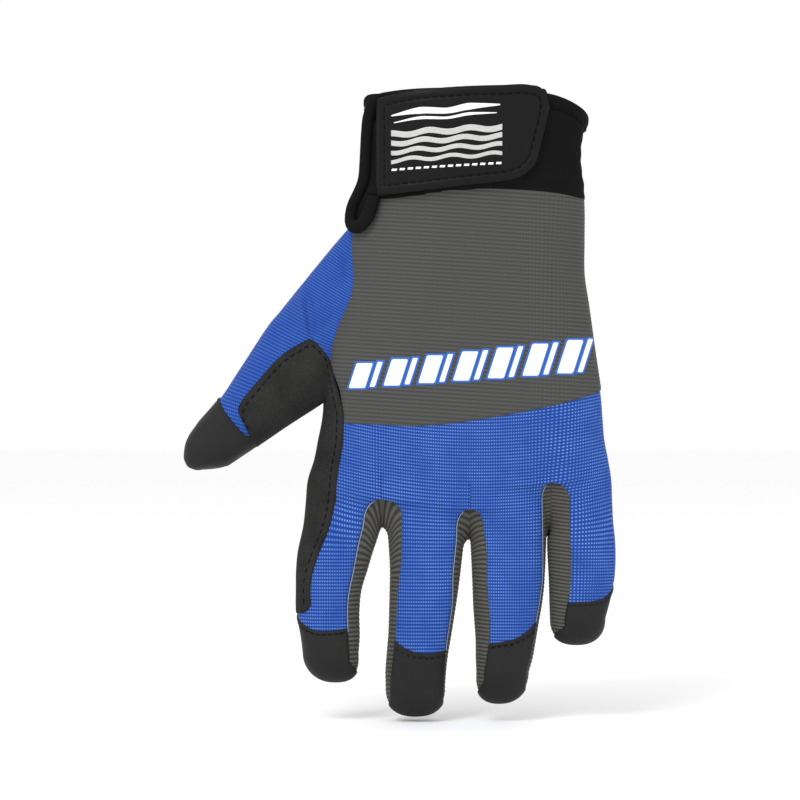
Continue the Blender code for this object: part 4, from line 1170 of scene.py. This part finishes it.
# the cuff: neoprene bands, the folded hem, the rolled slit binding and what sits inside
cuff = {
    "hemTop": [(-200, 3), (-150, 3.5), (-90, 6), (-40, 9.6), (0, 10.6), (25, 8), (50, 4.6), (75, 3),
               (110, 2.4), (152, 3.4)],
    "hemWide": 5.2, "slit": (152, 166), "lift": 0.75, "thick": 2.2,
    # binding: angle, down
    "binding": [(149, 5.6), (153, 9), (157, 14), (159, 24), (159, 33), (161, 39.5), (161.5, 45), (156, 50.6),
                (147, 52), (140.5, 48.6),
                (140, 43.5), (143, 39), (147, 35)],
    "bindingRadius": 2.45,
}


def hemLine(angle):
    # depth of the opening's edge round the wrist
    return through(cuff["hemTop"], angle)[0]


def bandGrid(first, last, top, bottom, rows, cols):
    # a band of the cuff between two angles; top and bottom are depths, or functions of the angle
    angle = np.linspace(first, last, cols)
    even = evenWidths(np.full(rows, float(first)), np.full(rows, float(last)), np.full((rows, cols), 20.0))
    top, bottom = (np.interp(-even[:1], -angle, edge(angle) if callable(edge) else edge + 0 * angle)
                   for edge in (top, bottom))
    down = mix(top, bottom, np.linspace(0, 1, rows)[:, None])
    return handSpot(even, down), even, down


def cuffBottom(angle):
    # a little below the top of the grey panel on the back, level on the palm
    x = handSpot(np.clip(angle, 0, 180), 38.0)[..., 0]
    return np.where(angle < 0, 40.6, through(hand["greyTop"], x)[0]) + 1.3


def ribbonGrid(spot, path, wide, lift, rows=7, steps=60):
    # a ribbon on a surface: a centre line of (x, down) with a width for each point
    at = np.linspace(0, len(path) - 1, steps)
    x, down = through(numbered(path), at)
    wide = np.interp(at, np.arange(len(path)), np.broadcast_to(wide, len(path)))
    dx, dd = np.gradient(x), np.gradient(down)
    long = np.hypot(dx, dd)
    v = np.linspace(-0.5, 0.5, rows)[:, None] * wide
    return spot(x - dd / long * v, down + dx / long * v, lift)


def barGrid(spot, x, down, wide, high, slant, lift):
    # a slanted bar: x and down of its centre, leaning by `slant` of its height
    u, v = np.meshgrid(np.linspace(-0.5, 0.5, 16), np.linspace(-0.5, 0.5, 22))
    return spot(x + u * wide - v * high * slant, down + v * high, lift)


def makeCuff():
    # each band is a grid on the hand's section; wrinkles and puckers are sines that fade at its edges
    back, palmWard = cuff["slit"]
    p, angle, down = bandGrid(back, -6, hemLine, cuffBottom, 70, 120)
    wrinkle = 0.12 * np.sin(down * 1.1 + 0.5 * np.sin(angle * 0.11)) * ease(4, 14, down)
    band = addSheet("cuffBack", p, neoprene, rise=wrinkle, lift=cuff["lift"], thick=cuff["thick"],
                    roll=(1, 0.2, 0, 1), rollDeep=1.1, rollWide=1.6)
    attach(band, "neoprene", "hand", "cuff_back")
    p, angle, down = bandGrid(-6, palmWard - 360, hemLine, 41.9, 70, 120)
    pucker = 0.28 * np.sin(np.radians(angle) * 58) * ease(14, 20, down) * (1 - ease(30, 36, down))
    band = addSheet("cuffPalm", p, neoprene, rise=pucker, lift=cuff["lift"], thick=cuff["thick"],
                    roll=(0.2, 1, 0, 1), rollDeep=1.1, rollWide=1.6)
    attach(band, "neoprene", "hand", "cuff_palm")
    # folded hem round the opening, thicker than the band and turned over the top edge
    p, angle, down = bandGrid(back, palmWard - 360, lambda a: hemLine(a) - 0.9,
                              lambda a: hemLine(a) + cuff["hemWide"], 26, 260)
    t = along(p, 0)
    swell = 0.55 * np.sin(np.pi * np.clip(t / t[-1:], 0, 1)) - 0.35 * bell(t, cuff["hemWide"] - 0.6, 0.4)
    hem = addSheet("cuffHem", p, neoprene, rise=swell, lift=cuff["lift"] + 0.25, thick=3.4,
                   roll=(1, 1, 1.6, 1), rollDeep=1.1, rollWide=1.6)
    attach(hem, "neoprene", "hand", "cuff_hem")
    n = gridNormals(p)
    sewn = addStitches("hemStitches", p[21, ::2] + n[21, ::2] * (cuff["lift"] + 0.55), n[21, ::2],
                       blackThread, long=2.4, gap=0.9, radius=0.26)
    attach(sewn, "neoprene", "hand")
    # rolled binding down both sides of the slit and round its end
    last = len(cuff["binding"]) - 1
    step = np.linspace(0, last, 150)
    angle, down = through(numbered(cuff["binding"]), step)
    path = handSpot(angle, down, mix(cuff["bindingRadius"] + 0.3, -0.6, ease(last - 1.4, last, step)))
    tube = addTube("slitBinding", path, cuff["bindingRadius"], neoprene, sides=18)
    attach(tube, "neoprene", "hand", "slit_binding")
    # dark tongue of the cuff behind the end of the slit
    angle, down = np.meshgrid(np.linspace(162, 138, 26), np.linspace(12, 49.5, 40))
    tongue = handSpot(angle, down, 1.9)
    tongue = addSheet("slitTongue", tongue, neoprene, thick=1.0, rollDeep=0.5, rollWide=1.0)
    attach(tongue, "neoprene", "hand")
    # loop pile the strap fastens to
    p, angle, down = bandGrid(92, 14, lambda a: hemLine(a) + 4.6, 36.0, 70, 110)
    x = p[..., 0]
    pile = 0.1 * np.sin(x * 5.1 + 2 * np.sin(down * 1.3)) * np.sin(down * 4.7 + 2 * np.sin(x * 0.9))
    patch = addSheet("loopPatch", p, hookTape, rise=pile, lift=cuff["lift"] + 0.45, thick=0.6, rollDeep=0.4,
                     rollWide=0.8)
    attach(patch, "hook_tape", "hand", "loop_patch")
    # elastic webbing stitched inside the palm side, and the care label inside the back
    p, angle, down = bandGrid(-26, -158, 18.0, 31.0, 34, 150)
    web = 0.3 * np.sin(np.radians(angle) * 58) + 0.06 * np.sin(down * 5)
    band = addSheet("wristElastic", p, neoprene, rise=web, lift=cuff["lift"] - cuff["thick"] - 0.1, thick=0.8,
                    rollDeep=0.2)
    attach(band, "neoprene", "hand", "wrist_elastic")
    p, angle, down = bandGrid(101, 80, 7.0, 26.0, 40, 30)
    curl = -0.25 * np.sin(p[..., 0] * 0.6) * ease(12, 26, down)
    label = addSheet("sizeLabel", p, labelCloth, rise=curl, lift=cuff["lift"] - cuff["thick"] - 0.3,
                     thick=0.35, rollDeep=0.1)
    attach(label, "label_cloth", "hand", "size_label")


makeCuff()

# the strap: its top and bottom edges over x, a welded channel with stitches inside it, and a printed badge
strap = {
    "top": [(-38.4, 5.0), (-27.7, 3.1), (-10.8, 1.7), (8, 1.0), (18.5, 0.85), (22.6, 1.9), (25.2, 5),
            (25.9, 9)],
    "bottom": [(-38.4, 40.9), (-20, 39.3), (-1.8, 37.2), (7, 36.3), (12, 35.4), (17.6, 32.6), (21.6, 27),
               (23.4, 20), (25, 13.5), (25.9, 9)],
    "lift": 3.9, "thick": 1.7, "channel": 3.3, "start": -38.4, "end": 25.9, "long": 64.3,
}


def strapSpot(x, down, lift=0.0):
    # the point over (x, down) on the hand's section grown by the strap's height
    left, right, _, power = through(hand["rows"], down)
    out = strap["lift"] + np.asarray(lift, float)
    return handSpot(angleOfAcross((x - (left + right) / 2) / ((right - left) / 2 + out), power), down, out)


def strapOutline(count=260):
    # the strap's edge as (x, down), once round, an even distance apart
    x = strap["start"] + strap["long"] * dome(90)
    top = np.column_stack([x, through(strap["top"], x)[0]])
    x = strap["end"] - strap["long"] * (1 - np.cos(np.linspace(0, np.pi / 2, 90)))
    bottom = np.column_stack([x, through(strap["bottom"], x)[0]])
    loop = np.concatenate([top, bottom[1:], top[:1] + np.array([[0, 30.0]]), top[:1]])
    s = pathLength(loop)
    want = np.linspace(0, s[-1], count)
    return np.column_stack([np.interp(want, s, loop[:, 0]), np.interp(want, s, loop[:, 1])])


def makeStrap():
    # a sheet over the section grown by the strap's height, closer rows near its edges and closer columns near its round end
    cols, rows = 150, 110
    x = strap["start"] + strap["long"] * dome(cols)[None]
    top, bottom = through(strap["top"], x)[0], through(strap["bottom"], x)[0]
    r = 0.5 - 0.5 * np.cos(np.linspace(0, np.pi, rows))[:, None]
    down = mix(top, bottom, mix(np.linspace(0, 1, rows)[:, None], r, 0.5))
    x = x + 0 * down
    outline = strapOutline()
    away = np.sqrt(((x[..., None] - outline[:, 0]) ** 2 + (down[..., None] - outline[:, 1]) ** 2).min(2))
    # a welded channel, a soft swell inside it and an edge rounded off by a quarter circle
    rise = -0.5 * bell(away, strap["channel"], 0.5) + 0.35 * ease(0, 2.2, away)
    rise = rise - 0.75 * (1 - quarterRound(away / 1.3))
    p = strapSpot(x, down)
    skin = addSheet("wristStrap", p, strapSkin, rise=rise, roll=(0, 0, 0, 0), thick=strap["thick"])
    attach(skin, "strap_rubber", "strap", "strap")
    # stitches along the channel: the outline drawn in by the channel's distance
    d = np.gradient(outline, axis=0)
    d /= np.maximum(np.linalg.norm(d, axis=1, keepdims=True), 1e-9)
    line = outline + np.column_stack([-d[:, 1], d[:, 0]]) * strap["channel"]
    deep = np.sqrt(((line[:, None] - outline[None]) ** 2).sum(2).min(1))
    line = line[deep > strap["channel"] - 0.25]
    path = strapSpot(line[:, 0], line[:, 1], -0.1)
    out = strapSpot(line[:, 0], line[:, 1], 1.0) - strapSpot(line[:, 0], line[:, 1], 0.0)
    sewn = addStitches("strapStitches", path, out, blackThread, long=2.2, gap=0.8, radius=0.27)
    attach(sewn, "strap_rubber", "strap")
    # hooks on the underside of the free end
    u, v = np.meshgrid(np.linspace(0, 22.5, 80), np.linspace(5, 29, 80))
    hooks = 0.12 * np.sin(u * 4.2) * np.sin(v * 4.2)
    q = strapSpot(u, v)
    patch = addSheet("hookPatch", q, hookTape, rise=hooks, lift=-strap["thick"], thick=0.75, rollDeep=0.2)
    attach(patch, "hook_tape", "strap", "hook_patch")


makeStrap()


def makeBadge():
    # a plain badge on the strap: two tapered swells, four silver waves and a row of dashes
    tilt = lambda x: 0.055 * (x + 13)
    swells = [([(-32.6, 11.8), (-22, 10.2), (-12, 10.4), (-4, 8.9), (7.4, 8.2)], [0.4, 2.5, 2.1, 2.5, 0.5]),
              ([(-31.6, 14.4), (-22, 12.9), (-12, 13.0), (-4, 11.6), (6.2, 11.2)], [0.3, 1.1, 0.9, 1.1, 0.3])]
    top = [ribbonGrid(strapSpot, path, wide, 0.52, steps=70) for path, wide in swells]
    film = {"thick": 0.25, "rollDeep": 0.1, "rollWide": 0.3}
    attach(addSheets("badgeSwell", top, whiteFilm, **film), "strap_rubber", "strap")
    u, v = np.meshgrid(np.linspace(0, 1, 90), np.linspace(0, 1, 24))
    stripes = []
    for k in range(4):
        x = mix(-32.6, 8.2, u)
        middle = 17.6 + 3.2 * k + 0.55 * np.sin(x * 0.42 + 0.9 * k) - tilt(x)
        stripes.append(strapSpot(x, middle + (v - 0.5) * (2.2 - 0.25 * k), 0.52))
    attach(addSheets("badgePanel", stripes, silverFilm, **film), "strap_rubber", "strap")
    xs = [-31.4 + 2.95 * k for k in range(14)]
    dashes = [barGrid(strapSpot, x, 30.6 - tilt(x), 1.9, 0.8, 0.3, 0.5) for x in xs]
    dashes = addSheets("badgeDashes", dashes, whiteFilm, thick=0.2, rollDeep=0.08, rollWide=0.2)
    attach(dashes, "strap_rubber", "strap")


makeBadge()

# slanted bars across the knuckles, white film on a slightly larger blue one
knuckleBars = {"count": 7, "from": (-43.6, 107.2), "to": (33.6, 100.2), "wide": 6.0, "high": (9.2, 12.4),
               "slant": 0.32, "border": 0.7,
               "thin": 1.9, "gap": 1.7}


def makeKnuckleBars():
    # a wide and a thin bar at each place, along a straight line of places, growing towards the little finger
    onGrey = lambda x, down, lift: backSpot(x, down, backPanel["over"] + lift)
    share = np.linspace(0, 1, knuckleBars["count"])
    xs = mix(knuckleBars["from"][0], knuckleBars["to"][0], share)
    downs = mix(knuckleBars["from"][1], knuckleBars["to"][1], share)
    highs = mix(*knuckleBars["high"], share)
    aside = (knuckleBars["wide"] + knuckleBars["thin"]) / 2 + knuckleBars["gap"]
    films = (("knuckleBarEdges", knuckleBars["border"], 0.14, blueFilm), ("knuckleBars", 0, 0.26, whiteFilm))
    for name, grow, lift, film in films:
        grids = []
        for x, d, h in zip(xs, downs, highs):
            for x, d, wide in ((x, d, knuckleBars["wide"]),
                               (x + aside, d - 0.08 * aside, knuckleBars["thin"])):
                grids.append(barGrid(onGrey, x, d, wide + 2 * grow, h + 2 * grow, knuckleBars["slant"], lift))
        attach(addSheets(name, grids, film, thick=0.4, rollDeep=0.12, rollWide=0.3), "grey_fabric", "hand")


makeKnuckleBars()
print("cuff, strap and prints made")

camera = bpy.data.cameras.new("camera")
camera.lens, camera.sensor_width, camera.clip_start, camera.clip_end = 135, 36, 0.05, 20
cameraSpot = bpy.data.objects.new("camera", camera)
cameraSpot.location = (-0.02925, -1.125, -0.11625)
cameraSpot.rotation_euler = (math.pi / 2, 0, 0)
bpy.context.scene.collection.objects.link(cameraSpot)
bpy.context.scene.camera = cameraSpot

# the floor's height in metres, just below the lowest fingertip
studio = {"floor": -0.2365}


def addLight(name, spot, aim, size, power):
    # a square lamp at spot, turned to face aim
    light = bpy.data.lights.new(name, "AREA")
    light.shape, light.size, light.energy = "SQUARE", size, power
    holder = bpy.data.objects.new(name, light)
    holder.location = spot
    d = np.array(aim) - np.array(spot)
    holder.rotation_euler = (math.atan2(math.hypot(d[0], d[1]), -d[2]), 0,
                             math.atan2(d[1], d[0]) - math.pi / 2)
    bpy.context.scene.collection.objects.link(holder)


addLight("keyLight", (-0.55, -0.9, 0.85), (0, 0, -0.1), 0.6, 9)
addLight("fillLight", (0.9, -0.9, 0.2), (0, 0, -0.1), 0.9, 2)


def makeStage():
    # a pale floor, wide enough to reach past every view
    x, y = np.meshgrid(np.linspace(-6, 6, 7), np.linspace(6, -6, 7))
    p = np.stack([x, y, studio["floor"] + 0 * x], 2) / mm
    finish, _, shader = startMaterial("palePaper", Roughness=0.9)
    shader.inputs["Base Color"].default_value = linear("#fbfbfb")
    newPiece("floor", p.reshape(-1, 3), gridFaces(7, 7), finish)


makeStage()
world = bpy.data.worlds.new("studio")
world.use_nodes = True
world.node_tree.nodes["Background"].inputs[0].default_value = (1, 1, 1, 1)
world.node_tree.nodes["Background"].inputs[1].default_value = 1.0
bpy.context.scene.world = world
bpy.context.scene.view_settings.view_transform = "Standard"
print("camera, light and floor set")
